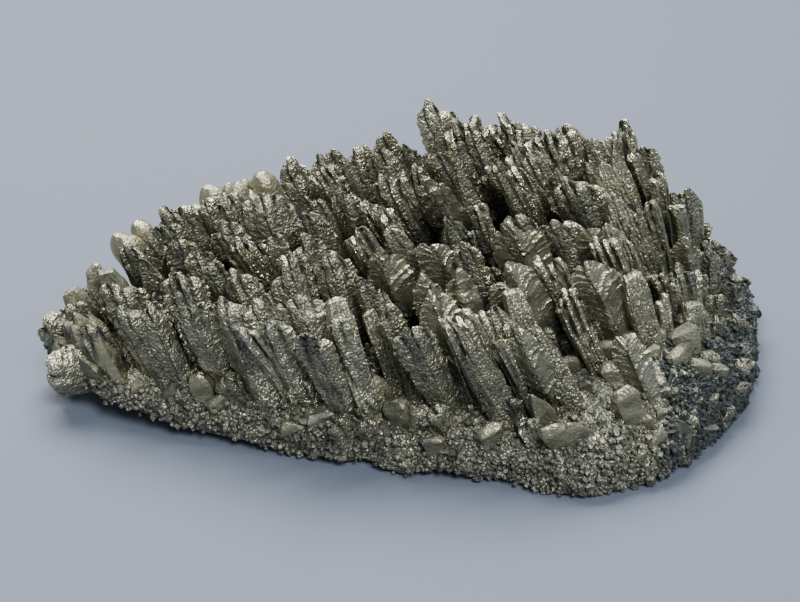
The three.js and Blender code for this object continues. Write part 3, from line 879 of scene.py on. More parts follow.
def grow_piece(name, wanted, sizes, material):
    """Shapes each wanted crystal from a copy of a blank and joins them to one piece."""
    copies = []
    for habit, tip, width, turn, seed, fixed in wanted:
        if fixed:
            length, way = fixed
            foot = np.array(tip, float) - length * way
        else:
            way = growth(tip[0], tip[1], seed)
            foot, length = foot_below(tip, way)
        blank = blank_for(width if seed < RIM_SEED else PLAINER_RIM * width, length)
        loose = LARGE_TURN if seed < SLENDER_SEED else SMALL_TURN
        facing = loose * wobble(seed, 3) if turn is None else turn
        points, values = shape_crystal(blank, habit, foot, way, facing, length, width, seed, sizes)
        copy = copy_with_mesh(blank["object"])
        set_corners(copy.data, in_metres(points))
        tone = 1.0 if habit in BRIGHTEST else chance(seed, 30)
        values["tone"] = np.full(len(points), tone)
        # Crystals that stand clear get less of the painted gap shade.
        if fixed:
            values["depth"] *= STANDS_CLEAR
        for key, value in values.items():
            add_values(copy.data, key, value)
        copies.append(copy)
    finish_piece(joined(copies), name, material)


def finish_piece(piece, name, material):
    piece.name = name
    piece.data.name = name
    piece.data.materials.clear()
    piece.data.materials.append(material)
    select_only([piece])
    bpy.ops.object.shade_smooth_by_angle(angle=SMOOTH_BELOW)
    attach(piece, "root")
    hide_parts("crystal_cluster")


# ---------------------------------------------------------------- the crust

# Corners of the crust's cross-section, from the crown over the front to the back: share of the way
# across, share of the height, and the corner's number where the solid has it too.
CRUST_SECTION = [
    (0.5, 1, 0), (0.39, 1, None), (0.28, 1, 1), (0.21, 1, None), (0.15, 1, 2), (0.08, 1, 3), (0.025, 1, 4),
    (0, 0.45, 5), (0, 0, 6), (1, 0, 7), (1, 0.45, 8), (0.975, 1, 9), (0.92, 1, 10), (0.85, 1, 11),
    (0.785, 1, None), (0.72, 1, 12), (0.61, 1, None),
]
CRUST_STEPS = 34
SOLID_CORNERS = 13
# In mm: the least depth from front to back, how far the rim hangs over the underside, how uneven
# its corners are and the least height of its wall.
LEAST_DEPTH = 4
OVERHANG = 1.5
CRAG = 1.5
LEAST_WALL = 0.6
# The corners further than this from the middle, as a share of the way across, are uneven.
CRAGGY_FROM = 0.3


def crust_corner(step, corner):
    share, height, number = CRUST_SECTION[corner]
    first, last = FRONT_EDGE[0][0], FRONT_EDGE[-1][0]
    x = first + (last - first) * step / CRUST_STEPS
    front = float(along(FRONT_EDGE, x))
    back = max(float(along(BACK_EDGE, x)), front + LEAST_DEPTH)
    y = front + (back - front) * share
    base = float(underside(x))
    if height == 0:
        return x, y + (OVERHANG if share < 0.5 else -OVERHANG), base
    z = base + (float(crust_top(x, y)) - base) * height
    if number is None or abs(share - 0.5) <= CRAGGY_FROM:
        return x, y, z
    i = step * SOLID_CORNERS + number
    return x, y + CRAG * wobble(i, 15), max(z + CRAG * wobble(i, 4), base + LEAST_WALL)


def crust_points(blank):
    """The blank's points moved onto the crust's cross-sections, in millimetres."""
    corners = len(CRUST_SECTION)
    source = corners_of(blank["object"].data)
    points = np.empty_like(source)
    step = np.round(source[:, 2] * CRUST_STEPS).astype(int)
    corner = np.round(blank["share"] * corners).astype(int) % corners
    for k in range(len(source)):
        ring = np.array(crust_corner(step[k], corner[k]))
        if blank["ring"][k] < 0.99:
            middle = np.mean([crust_corner(step[k], c) for c in range(corners)], axis=0)
            ring = middle + (ring - middle) * blank["ring"][k]
        points[k] = ring
    return points


def relieve(piece, sizes):
    """Raises grains over the crust, except on its flat underside, and gives its values."""
    mesh = piece.data
    points = corners_of(mesh) / MM - TO_ORIGIN
    normals = np.empty(len(mesh.vertices) * 3)
    mesh.vertices.foreach_get("normal", normals)
    normals = normals.reshape(-1, 3)
    coarse = cobbles(points, sizes["lump"])
    fine = cobbles(points + 31, sizes["grain"])
    upper = np.clip((normals[:, 2] + 0.75) / 0.5, 0, 1)
    lift = (0.9 * (coarse - 0.5) + 0.4 * (fine - 0.4)) * upper
    set_corners(mesh, in_metres(points + normals * lift[:, None]))
    add_values(mesh, "growth", points)
    # The crust's film, with painted shade, gathers on its low grains and more on the broad end's flank.
    lit_and_clean = np.clip(0.4 * coarse + 0.4 * fine + 0.1, 0, 1)
    add_values(mesh, "relief", lit_and_clean * (1 - 0.4 * on_flank(points)))
    # depth paints near-black shade where the crust lies deep inside the cluster.
    add_values(mesh, "depth", buried(points))
    add_values(mesh, "tone", np.full(len(points), 0.4))


def make_crust(sizes, material):
    """Makes the crust from an upright blank whose height becomes the specimen's length."""
    blank = make_blank(len(CRUST_SECTION), CRUST_STEPS, 1)
    piece = blank["object"]
    set_corners(piece.data, (crust_points(blank) + TO_ORIGIN) * MM)
    fine = piece.modifiers.new("Rounding", "SUBSURF")
    fine.levels = 2
    fine.render_levels = 2
    select_only([piece])
    bpy.ops.object.modifier_apply(modifier=fine.name)
    relieve(piece, sizes)
    finish_piece(piece, "granular_crust", material)


# ---------------------------------------------------------------- grains on the crust's flanks


def make_handful():
    """Three small faceted grains as one mesh: a block, a pointed five-sided column and a pebble.

    Gives the object and which of its points belong to each grain.
    """
    deselect_all()
    bpy.ops.mesh.primitive_cube_add(size=1)
    block = bpy.context.object
    bpy.ops.object.mode_set(mode="EDIT")
    select_where("FACE", lambda face: face.normal.z > 0.5)
    bpy.ops.transform.resize(value=(0.6, 0.75, 1))
    bpy.ops.object.mode_set(mode="OBJECT")
    deselect_all()
    bpy.ops.mesh.primitive_cylinder_add(vertices=5, radius=0.55, depth=0.8)
    column = bpy.context.object
    bpy.ops.object.mode_set(mode="EDIT")
    select_where("FACE", lambda face: face.normal.z > 0.5)
    bpy.ops.mesh.poke(offset=0.3)
    bpy.ops.object.mode_set(mode="OBJECT")
    deselect_all()
    bpy.ops.mesh.primitive_ico_sphere_add(subdivisions=1, radius=0.6)
    pebble = bpy.context.object
    bpy.ops.object.mode_set(mode="EDIT")
    select_where("FACE", lambda face: face.normal.z > 0.6)
    bpy.ops.transform.translate(value=(0.1, 0, -0.08))
    bpy.ops.object.mode_set(mode="OBJECT")
    grains = [block, column, pebble]
    counts = [len(grain.data.vertices) for grain in grains]
    ends = np.cumsum(counts)
    return joined(grains), [slice(end - count, end) for end, count in zip(ends, counts)]


# Grains sit on faces that don't point further down than this and lie higher than this, in mm, and
# stray this far from a face's middle.
FACING_DOWN = -0.45
LOWEST_SEAT = 0.7
SEAT_STRAYS = 0.6


def seats_on(rng, crust, count, wanted_at):
    """Random places on the crust, each with the way out of it; wanted_at gives their density."""
    mesh = crust.data
    total = len(mesh.polygons)
    centres, normals, areas = np.empty(total * 3), np.empty(total * 3), np.empty(total)
    mesh.polygons.foreach_get("center", centres)
    mesh.polygons.foreach_get("normal", normals)
    mesh.polygons.foreach_get("area", areas)
    centres = centres.reshape(-1, 3) / MM - TO_ORIGIN
    normals = normals.reshape(-1, 3)
    wanted = wanted_at(centres) * areas * (normals[:, 2] > FACING_DOWN) * (centres[:, 2] > LOWEST_SEAT)
    chosen = rng.choice(total, size=count, p=wanted / wanted.sum())
    strayed = centres[chosen] + rng.uniform(-SEAT_STRAYS, SEAT_STRAYS, size=(count, 3))
    return list(zip(strayed, normals[chosen]))


def from_rim(points):
    """How far inside the rim a point lies, as a share of the way across."""
    s = across(points[:, 0], points[:, 1])
    return np.minimum(s, 1 - s)


# The broad end's flank starts at this x and ends at this y, the narrow end starts at the other x.
FLANK_X = 52
FLANK_Y = 34
NARROW_END_X = -60


def on_flank(points):
    """1 on the broad end's flank, where the grains are needles under a dark film, 0 elsewhere. The film
    there is partly a cooler tarnish and partly painted shade of the side turned from the light.
    """
    return np.clip((points[:, 0] - FLANK_X) / 10, 0, 1) * np.clip((FLANK_Y - points[:, 1]) / 16, 0, 1)


def rim_density(points):
    broad_end = np.clip((points[:, 0] - FLANK_X) / 16, 0, 1)
    narrow_end = np.clip((NARROW_END_X - points[:, 0]) / 10, 0, 1)
    rim = 0.07 + 1.0 * np.exp(-((from_rim(points) / 0.1) ** 2)) + 0.6 * broad_end + 0.3 * narrow_end
    return rim * (1 - 0.75 * on_flank(points))


def flank_density(points):
    return on_flank(points) * (0.15 + np.exp(-((from_rim(points) / 0.3) ** 2)))


def strew(name, seats, rng, shape_of, lit_and_clean, material):
    """Sets a grain on each seat, from copies of a handful, and joins them to one piece.

    shape_of gives a grain's three sizes in mm and how far it leans from the way out; the number after it is
    how free of dust and painted shade the grain's top is, the film and shade gathering on its lower sides.
    """
    handful, parts = make_handful()
    unset = corners_of(handful.data)
    copies = []
    for first in range(0, len(seats) - len(parts) + 1, len(parts)):
        points = np.empty_like(unset)
        relief, tone = np.empty(len(unset)), np.empty(len(unset))
        for part, (place, out) in zip(parts, seats[first : first + len(parts)]):
            sizes, lean = shape_of(rng)
            size = max(sizes)
            leaning = unit(out + lean * rng.normal(size=3))
            upright = np.array(Vector((0, 0, 1)).rotation_difference(Vector(leaning)).to_matrix())
            turned = (unset[part] * sizes) @ spin(rng).T @ upright.T
            points[part] = turned + place + out * size * rng.uniform(-0.2, 0.25)
            # Film and painted shade gather on a grain's lower sides; its top stays bright.
            high = np.clip((turned @ out) / size + 0.4, 0, 1)
            relief[part] = (0.05 + 0.65 * high) * lit_and_clean
            tone[part] = rng.random()
        copy = copy_with_mesh(handful)
        set_corners(copy.data, in_metres(points))
        add_values(copy.data, "growth", points)
        add_values(copy.data, "relief", relief)
        add_values(copy.data, "tone", tone)
        copies.append(copy)
    finish_piece(joined(copies), name, material)
    remove(handful)


def spin(rng):
    """A matrix for a random turn about the upright axis."""
    angle = rng.uniform(0, 2 * math.pi)
    c, s = math.cos(angle), math.sin(angle)
    return np.array([[c, -s, 0], [s, c, 0], [0, 0, 1]])


def rim_grain(rng):
    """The three sizes of a grain in mm, with a large one now and then, and how far it leans."""
    size = rng.uniform(0.5, 0.9) + 1.0 * rng.random() ** 7
    return rng.uniform(0.7, 1.25, size=3) * size, 0.9


def flank_needle(rng):
    """The same for a needle or small plate."""
    length = rng.uniform(1.0, 1.9) + 1.4 * rng.random() ** 4
    return np.array([rng.uniform(0.7, 1.5), rng.uniform(0.5, 0.9), length]), 0.85


# ---------------------------------------------------------------- finishes


def add_node(tree, kind, links=None, **settings):
    """Adds a node; `links` maps its inputs to sockets or values, settings are its properties."""
    node = tree.nodes.new(kind)
    for key, value in settings.items():
        setattr(node, key, value)
    for key, source in (links or {}).items():
        socket = node.inputs[key]
        if isinstance(source, bpy.types.NodeSocket):
            tree.links.new(source, socket)
        else:
            socket.default_value = source
    return node


def math_node(tree, operation, a, b=0.0, clamp=False):
    return add_node(tree, "ShaderNodeMath", {0: a, 1: b}, operation=operation, use_clamp=clamp).outputs[0]


def plus(tree, a, b, clamp=False):
    return math_node(tree, "ADD", a, b, clamp)


def minus(tree, a, b):
    return math_node(tree, "SUBTRACT", a, b)


def times(tree, a, b):
    return math_node(tree, "MULTIPLY", a, b)


def larger(tree, a, b, clamp=False):
    return math_node(tree, "MAXIMUM", a, b, clamp)


def ramped(tree, value, start, end, at_start, at_end, kind="LINEAR"):
    """Goes from at_start to at_end while the value goes from start to end."""
    links = {"Value": value, 1: start, 2: end, 3: at_start, 4: at_end}
    return add_node(tree, "ShaderNodeMapRange", links, interpolation_type=kind).outputs[0]


def vector_node(tree, operation, a, b):
    return add_node(tree, "ShaderNodeVectorMath", {0: a, 1: b}, operation=operation)


def mix_colours(tree, share, a, b):
    return add_node(tree, "ShaderNodeMix", {0: share, 6: a, 7: b}, data_type="RGBA").outputs[2]


def reading(tree, name, output="Fac"):
    """What a mesh carries for each point under that name."""
    return add_node(tree, "ShaderNodeAttribute", attribute_name=name).outputs[output]


def noise(tree, mm, scale, detail):
    return add_node(tree, "ShaderNodeTexNoise", {"Vector": mm, "Scale": scale, "Detail": detail})


def new_material(name):
    """An empty material and its node tree."""
    material = bpy.data.materials.new(name)
    material.use_nodes = True
    material.node_tree.nodes.clear()
    return material, material.node_tree


def granules(tree, mm, size, height):
    """Packed round grains: their pattern, and how high each point stands on one, in mm."""
    cells = add_node(tree, "ShaderNodeTexVoronoi", {"Vector": mm, "Scale": 1 / size})
    near = cells.outputs["Distance"]
    return cells, times(tree, minus(tree, 1.0, times(tree, near, near)), height)


def facets(tree, mm, cells, tilt):
    """Every cell of the pattern becomes a plane with its own tilt."""
    offset = vector_node(tree, "SUBTRACT", mm, cells.outputs["Position"])
    turn = vector_node(tree, "SUBTRACT", cells.outputs["Color"], (0.5, 0.5, 0.5))
    plane = vector_node(tree, "DOT_PRODUCT", offset.outputs[0], turn.outputs[0])
    return times(tree, plane.outputs["Value"], tilt)


def growth_lines(tree, pattern, pitch, height, uneven):
    """Fine ridges that follow the crystal: lapping leaflets, ribs along it or low steps.

    Gives how high a point lies on its ridge, from 0 to 1, and the same in mm.
    """
    growth = add_node(tree, "ShaderNodeSeparateXYZ", {0: reading(tree, "growth", "Vector")})
    run = growth.outputs[0 if pattern == "ribs" else 1]
    wavy = plus(tree, run, times(tree, uneven, 0.0 if pattern == "laps" else 1.6))
    if pattern == "laps":
        lap = math_node(tree, "FRACT", math_node(tree, "DIVIDE", wavy, pitch))
        shape = math_node(tree, "POWER", minus(tree, 1.0, lap), 0.6)
    else:
        shape = math_node(tree, "DIVIDE", math_node(tree, "PINGPONG", wavy, pitch / 2), pitch / 2)
    return shape, times(tree, shape, height)


# How long the scales between the joints are for their width, how far noise bends the joints, as a
# share of a scale, and how wide they are, in mm.
SCALE_LENGTH = 0.55
JOINTS_BEND = 0.35
JOINT_WIDTH = 0.26


def joints(tree, size, uneven):
    """Thin winding joints between scales of about that size in mm: 1 in a joint and 0 off it."""
    shrunk = (1 / size, SCALE_LENGTH / size, 1 / size)
    growth = reading(tree, "growth", "Vector")
    drawn = add_node(tree, "ShaderNodeMapping", {"Vector": growth, "Scale": shrunk})
    warp = vector_node(tree, "MULTIPLY", uneven, (JOINTS_BEND,) * 3)
    moved = vector_node(tree, "ADD", drawn.outputs[0], warp.outputs[0])
    links = {"Vector": moved.outputs[0], "Scale": 1.0}
    cells = add_node(tree, "ShaderNodeTexVoronoi", links, feature="DISTANCE_TO_EDGE")
    return ramped(tree, cells.outputs["Distance"], 0.0, JOINT_WIDTH / size, 1.0, 0.0, "SMOOTHSTEP")


# Noise scales per mm: broad patches of film and cast, low lumps and the finest roughness.
PATCHES = 0.35
LUMPS = 0.8
ROUGHNESS = 2.2
ROUGHNESS_HEIGHT = 0.12
# The lumps' height for that of the grains, and how many facets lie along the width of a grain.
LUMP_HEIGHT = 1.4
FACETS_PER_GRAIN = 0.45
# How deep the clefts' and joints' bottoms are drawn, in mm.
CLEFT_DEPTH = 0.4
JOINT_DEPTH = 0.16
# How much of the film, partly painted shade, the clefts and joints hold, and how much near-black painted
# shade the gaps and clefts get.
CLEFT_FILM_AND_SHADE = 1.2
JOINT_FILM = 0.7
GAP_SHADE = 0.75
CLEFT_SHADE = 0.8
SHADE_BLACK = (0.012, 0.013, 0.012, 1)
# The share of the olive cast where it is strongest.
CAST = 0.8
# How unlike in roughness the facets are, and what a full film adds to it and takes of the metal.
UNLIKE_FACETS = 0.25
FILM_ROUGHNESS = 0.3
FILM_COVERS = 0.45


def crystal_metal(name, colours, grain, height, tilt, dull=0.7, gloss=0.28, pattern=None, scales=0.0):
    """As-grown metal: bright small facets and grains, grey oxide and dust in the crevices with shade
    painted into them, and near-black painted shade deep in the gaps.

    colours are the dullest and the cleanest metal, the cast in patches and the oxide, whose colour also
    paints shade into the hollows. grain is the size of the fine grains and height how far they stand out,
    both in mm, tilt how steeply the small facets lie, dull how much oxide and painted shade there is and
    gloss the roughness of a bare facet. pattern is the kind of growth lines with their pitch and height in
    mm, scales the size of the scales that joints divide the surface into, in mm.
    """
    dark, bright, cast, oxide_and_shade = (tuple(colour) for colour in colours)
    material, tree = new_material(name)
    where = add_node(tree, "ShaderNodeTexCoord").outputs["Object"]
    mm = add_node(tree, "ShaderNodeMapping", {"Vector": where, "Scale": (1000, 1000, 1000)}).outputs[0]
    patches = noise(tree, mm, PATCHES, 2.0)
    fine = noise(tree, mm, ROUGHNESS, 3.0).outputs[0]
    lumps = noise(tree, mm, LUMPS, 1.0).outputs[0]
    cells, grains = granules(tree, mm, grain, height)
    coarse = add_node(tree, "ShaderNodeTexVoronoi", {"Vector": mm, "Scale": FACETS_PER_GRAIN / grain})
    surface = plus(tree, grains, facets(tree, mm, coarse, tilt))
    surface = plus(tree, surface, times(tree, fine, ROUGHNESS_HEIGHT))
    surface = plus(tree, surface, times(tree, lumps, LUMP_HEIGHT * height))
    # Oxide and dust gather low in the relief, in the clefts and in the pits between grains, and
    # thin out toward the edges; the same film paints shade into these hollows and leaves the high edges
    # bright.
    low = ramped(tree, reading(tree, "relief"), 0.1, 0.75, 1.0, 0.0)
    patchy = times(tree, low, plus(tree, patches.outputs[0], 0.5))
    pits = ramped(tree, cells.outputs["Distance"], 0.4, 0.75, 0.0, height)
    film_and_shade = plus(tree, times(tree, patchy, dull), pits, clamp=True)
    cleft = reading(tree, "cleft")
    surface = minus(tree, surface, times(tree, cleft, CLEFT_DEPTH))
    film_and_shade = larger(tree, film_and_shade, times(tree, cleft, CLEFT_FILM_AND_SHADE), clamp=True)
    if pattern:
        # Clean ridges with film and painted shade in the grooves between them.
        ridge, raised = growth_lines(tree, *pattern, patches.outputs[0])
        surface = plus(tree, surface, raised)
        groove = ramped(tree, ridge, 0.0, 0.45, 2 * pattern[2], 0.0)
        film_and_shade = larger(tree, film_and_shade, groove, clamp=True)
    if scales:
        joint = joints(tree, scales, patches.outputs["Color"])
        surface = minus(tree, surface, times(tree, joint, JOINT_DEPTH))
        film_and_shade = larger(tree, film_and_shade, times(tree, joint, JOINT_FILM))
    bumped = add_node(tree, "ShaderNodeBump", {"Height": surface, "Strength": 1.0, "Distance": MM})
    # Each crystal has its own tone between dull and clean metal, with the cast over it in patches.
    ramp = add_node(tree, "ShaderNodeValToRGB", {"Fac": reading(tree, "tone")})
    ramp.color_ramp.elements[0].color = dark
    ramp.color_ramp.elements[1].color = bright
    tinted = mix_colours(tree, times(tree, patches.outputs[0], CAST), ramp.outputs[0], cast)
    # The film's colour stands for oxide and dust and also paints shade into the hollows.
    filmed_and_shaded = mix_colours(tree, film_and_shade, tinted, oxide_and_shade)
    # Deep between the crystals and down in the clefts, shade is painted near black into the colour.
    in_gaps = times(tree, reading(tree, "depth"), GAP_SHADE)
    painted_shade = larger(tree, in_gaps, times(tree, cleft, CLEFT_SHADE))
    colour = mix_colours(tree, painted_shade, filmed_and_shaded, SHADE_BLACK)
    # A clean facet is glossy, and each one a little differently; a filmed one is nearly matt.
    uneven = times(tree, coarse.outputs["Color"], UNLIKE_FACETS)
    rough = plus(tree, plus(tree, uneven, gloss - 0.1), times(tree, film_and_shade, FILM_ROUGHNESS))
    metallic = minus(tree, 1.0, times(tree, film_and_shade, FILM_COVERS))
    skin = add_node(tree, "ShaderNodeBsdfPrincipled", {
        "Base Color": colour, "Roughness": rough, "Metallic": metallic, "Normal": bumped.outputs[0],
    })
    add_node(tree, "ShaderNodeOutputMaterial", {"Surface": skin.outputs[0]})
    return material


def floor_paper(name, colour):
    """Matt studio paper with a slight unevenness in its tone."""
    material, tree = new_material(name)
    where = add_node(tree, "ShaderNodeTexCoord").outputs["Object"]
    mottle = noise(tree, where, 9.0, 2.0).outputs[0]
    lighter = tuple(c * 1.05 for c in colour[:3]) + (1.0,)
    tone = mix_colours(tree, mottle, tuple(colour), lighter)
    skin = add_node(tree, "ShaderNodeBsdfPrincipled", {"Base Color": tone, "Roughness": 0.75})
    add_node(tree, "ShaderNodeOutputMaterial", {"Surface": skin.outputs[0]})
    return material


# ---------------------------------------------------------------- the add-on


def colour_property(name, description, code):
    return bpy.props.FloatVectorProperty(
        name=name, description=description, default=linear(code), size=4, min=0, max=1, subtype="COLOR")


class SpecimenSettings(bpy.types.PropertyGroup):
    """Sizes and colours of the cluster's surface, the stage and its light."""

    cobble: bpy.props.FloatProperty(
        name="Blade grains", description="Grain size on the granular blades, in millimetres",
        default=1.7, min=0.5, max=4)
    ledge: bpy.props.FloatProperty(
        name="Ledge pitch", description="Distance from ledge to ledge on a fern blade, in millimetres",
        default=2.0, min=0.8, max=5)
    rib: bpy.props.FloatProperty(
        name="Rib pitch", description="Distance from rib to rib on a column, in millimetres",
        default=1.6, min=0.6, max=4)
    step: bpy.props.FloatProperty(
        name="Growth steps", description="Distance between low steps on smooth plates, in millimetres",
        default=1.6, min=0.6, max=6)
    crust_lump: bpy.props.FloatProperty(
        name="Crust lumps", description="Size of the crust's coarse lumps, in millimetres",
        default=3.0, min=1, max=8)
    crust_grain: bpy.props.FloatProperty(
        name="Crust grains", description="Size of the crust's fine grains, in millimetres",
        default=1.5, min=0.5, max=4)
    rim_grains: bpy.props.IntProperty(
        name="Rim grains", description="How many separate grains lie along the rim",
        default=10800, min=99, max=12000)
    flank_needles: bpy.props.IntProperty(
        name="Flank needles", description="How many small crystals stand on the broad end's flank",
        default=4200, min=99, max=6000)
    bright_metal: colour_property("Bright metal", "The cleanest crystals", "#d6d4bf")
    plate_metal: colour_property("Plate metal", "The cleanest of the smooth plates", "#98937c")
    dark_metal: colour_property("Dark metal", "The dullest crystals", "#9b9a85")
    olive_metal: colour_property("Olive metal", "The warm cast in patches", "#aca684")
    # The film's colour: oxide and dust, and painted shade in the hollows.
    oxide_and_shade: colour_property("Oxide", "Grey film and dust in the crevices", "#484a45")
    # The flank's film colour: a cooler tarnish, and painted shade of the side turned from the light.
    blue_oxide_and_shade: colour_property("Blue oxide", "The cooler film on the broad end's flank", "#353a39")
    floor: colour_property("Floor", "The studio paper", "#4e5562")
    camera_distance: bpy.props.FloatProperty(
        name="Camera distance", description="From the camera to the middle of the specimen",
        default=0.345, subtype="DISTANCE", unit="LENGTH")
    camera_height: bpy.props.FloatProperty(
        name="Camera elevation", description="How far above level the camera looks down from",
        default=math.radians(34), subtype="ANGLE", unit="ROTATION")
    key_power: bpy.props.FloatProperty(
        name="Key light", description="Power of the large soft light above and behind, in watts",
        default=34.0, min=0)
    fill_power: bpy.props.FloatProperty(
        name="Fill light", description="Power of the soft light at the front right, in watts",
        default=13.0, min=0)


def relief_sizes(settings):
    """Each habit's size of grains, ledges, ribs or steps, and the crust's two sizes."""
    granular_habits = ("tongue", "sprawl", "filler", "stub", "nodule", "shard", "sliver")
    sizes = dict.fromkeys(granular_habits, settings.cobble)
    sizes.update(dict.fromkeys(("plate", "leaf", "block"), settings.step))
    sizes.update(dict.fromkeys(("rib", "fan", "veined", "stump"), settings.rib))
    sizes.update(dict.fromkeys(("fern", "terrace"), settings.ledge))
    sizes.update(lump=settings.crust_lump, grain=settings.crust_grain)
    return sizes


def metal_colours(settings, bright="bright_metal", oxide_and_shade="oxide_and_shade"):
    """The four colours that crystal_metal takes, in its order."""
    names = ("dark_metal", bright, "olive_metal", oxide_and_shade)
    return [getattr(settings, key) for key in names]


# Seeds of the grains' random draws, and how clean of dust and painted shade the tops of the grains are.
RIM_GRAIN_DRAWS = 7
NEEDLE_DRAWS = 11
RIM_GRAIN_TOPS_LIT_AND_CLEAN = 0.5
NEEDLE_TOPS_LIT_AND_CLEAN = 0.45


class CrystalOperator:
    """What the operators that grow crystals share: their habits, piece, metal and its finish."""

    bl_options = {"REGISTER", "UNDO"}
    habits = ()
    piece = ""
    metal = ""
    bright = "bright_metal"
    finish = {}

    def execute(self, context):
        settings = context.scene.specimen
        wanted = [plant for plant in planting() if plant[0] in self.habits]
        if not wanted:
            raise RuntimeError(f"no crystals of the kinds {self.habits}")
        material = crystal_metal(self.metal, metal_colours(settings, self.bright), **self.finish)
        grow_piece(self.piece, wanted, relief_sizes(settings), material)
        return {"FINISHED"}


class SPECIMEN_OT_crust(bpy.types.Operator):
    """Makes the granular crust that the crystals stand in"""

    bl_idname = "specimen.crust"
    bl_label = "Granular crust"

    def execute(self, context):
        settings = context.scene.specimen
        material = crystal_metal(
            "granular metal crust, dulled", metal_colours(settings),
            grain=0.7, height=0.42, tilt=0.6, dull=1.1, gloss=0.28)
        make_crust(relief_sizes(settings), material)
        return {"FINISHED"}


class SPECIMEN_OT_rim_grains(bpy.types.Operator):
    """Strews small faceted grains along the crust's rim"""

    bl_idname = "specimen.rim_grains"
    bl_label = "Rim grains"

    def execute(self, context):
        settings = context.scene.specimen
        rng = np.random.default_rng(RIM_GRAIN_DRAWS)
        seats = seats_on(rng, bpy.data.objects["granular_crust"], settings.rim_grains, rim_density)
        material = crystal_metal(
            "faceted metal grains", metal_colours(settings),
            grain=0.5, height=0.2, tilt=0.5, dull=1.0, gloss=0.26)
        strew("rim_grains", seats, rng, rim_grain, RIM_GRAIN_TOPS_LIT_AND_CLEAN, material)
        return {"FINISHED"}


class SPECIMEN_OT_flank_needles(bpy.types.Operator):
    """Stands small dull needles and plates on the broad end's flank"""

    bl_idname = "specimen.flank_needles"
    bl_label = "Flank needles"

    def execute(self, context):
        settings = context.scene.specimen
        rng = np.random.default_rng(NEEDLE_DRAWS)
        seats = seats_on(rng, bpy.data.objects["granular_crust"], settings.flank_needles, flank_density)
        # The needles' heavy film darkens the flank: partly tarnish, partly painted shade.
        material = crystal_metal(
            "tarnished metal needles", metal_colours(settings, oxide_and_shade="blue_oxide_and_shade"),
            grain=0.5, height=0.15, tilt=0.5, dull=1.4, gloss=0.32)
        strew("flank_needles", seats, rng, flank_needle, NEEDLE_TOPS_LIT_AND_CLEAN, material)
        return {"FINISHED"}


class SPECIMEN_OT_granular_blades(CrystalOperator, bpy.types.Operator):
    """Grows the tongue-shaped blades with grains packed over them"""

    bl_idname = "specimen.granular_blades"
    bl_label = "Granular blades"
    habits = ("tongue", "sprawl")
    piece = "granular_blades"
    metal = "granular blade metal"
    finish = {
        "grain": 0.54, "height": 0.33, "tilt": 0.36, "gloss": 0.22, "scales": 3.8,
        "pattern": ("laps", 0.85, 0.13),
    }


class SPECIMEN_OT_fern_blades(CrystalOperator, bpy.types.Operator):
    """Grows the fern-like blades with leaflets lapping out from a midrib"""

    bl_idname = "specimen.fern_blades"
    bl_label = "Fern blades"
    habits = ("fern", "terrace")
    piece = "fern_blades"
    metal = "leafleted fern metal"
    finish = {
        "grain": 0.5, "height": 0.15, "tilt": 0.25, "dull": 0.45, "gloss": 0.2,
        "pattern": ("laps", 1.0, 0.4),
    }


class SPECIMEN_OT_ribbed_columns(CrystalOperator, bpy.types.Operator):
    """Grows the ribbed columns and fans with comb-like tops, and the veined leaves"""

    bl_idname = "specimen.ribbed_columns"
    bl_label = "Ribbed columns, fans and veined leaves"
    habits = ("rib", "fan", "veined", "stump")
    piece = "ribbed_columns"
    metal = "ribbed column metal"
    finish = {"grain": 0.5, "height": 0.22, "tilt": 0.3, "gloss": 0.2, "pattern": ("ribs", 0.9, 0.2)}


class SPECIMEN_OT_smooth_plates(CrystalOperator, bpy.types.Operator):
    """Grows the smooth plates, leaves, blocks and nodules"""

    bl_idname = "specimen.smooth_plates"
    bl_label = "Smooth plates, leaves, blocks and nodules"
    habits = ("plate", "leaf", "block", "nodule")
    piece = "smooth_plates"
    metal = "smooth plate metal"
    bright = "plate_metal"
    finish = {
        "grain": 0.6, "height": 0.1, "tilt": 0.12, "dull": 0.9, "gloss": 0.3,
        "pattern": ("steps", 1.3, 0.015),
    }


class SPECIMEN_OT_granular_shards(CrystalOperator, bpy.types.Operator):
    """Grows the grainy plates and slivers between the blades and on the rim"""

    bl_idname = "specimen.granular_shards"
    bl_label = "Granular shards"
    habits = ("shard", "sliver")
    piece = "granular_shards"
    metal = "granular shard metal"
    finish = {"grain": 0.52, "height": 0.32, "tilt": 0.36, "gloss": 0.22, "pattern": ("laps", 0.85, 0.13)}


class SPECIMEN_OT_ground_crystals(CrystalOperator, bpy.types.Operator):
    """Grows the small crystals that fill the ground between the others"""

    bl_idname = "specimen.ground_crystals"
    bl_label = "Small ground crystals"
    habits = ("filler", "stub")
    piece = "ground_crystals"
    metal = "small crystal metal"
    bright = "dark_metal"
    finish = {"grain": 0.54, "height": 0.3, "tilt": 0.4, "dull": 1.2, "gloss": 0.26}


# The point that the lights and the camera are aimed at, 20 mm up in the specimen's middle.
MIDDLE = (TO_ORIGIN + (0, 0, 20)) * MM
FLOOR_SIZE = 6
# The lights' places and sizes in metres, and their colours.
KEY = ((-0.15, 0.5, 0.78), (0.8, 0.5), (1, 0.99, 0.97))
FILL = ((0.25, -0.45, 0.8), (0.4, 0.4), (0.97, 0.99, 1))
ROOM_COLOUR = (0.8, 0.87, 0.96, 1)
ROOM_STRENGTH = 0.5
# The lens and the sensor's width in mm.
LENS = 73.5
SENSOR = 36


def aim(thing, target):
    way = Vector(target) - thing.location
    thing.rotation_euler = way.to_track_quat("-Z", "Y").to_euler()


def soft_light(name, place, size, power, colour):
    """A rectangular light that shines on the specimen's middle."""
    deselect_all()
    bpy.ops.object.light_add(type="AREA", location=place)
    lamp = bpy.context.object
    lamp.name = name
    lamp.data.shape = "RECTANGLE"
    lamp.data.size, lamp.data.size_y = size
    lamp.data.energy = power
    lamp.data.color = colour
    aim(lamp, MIDDLE)


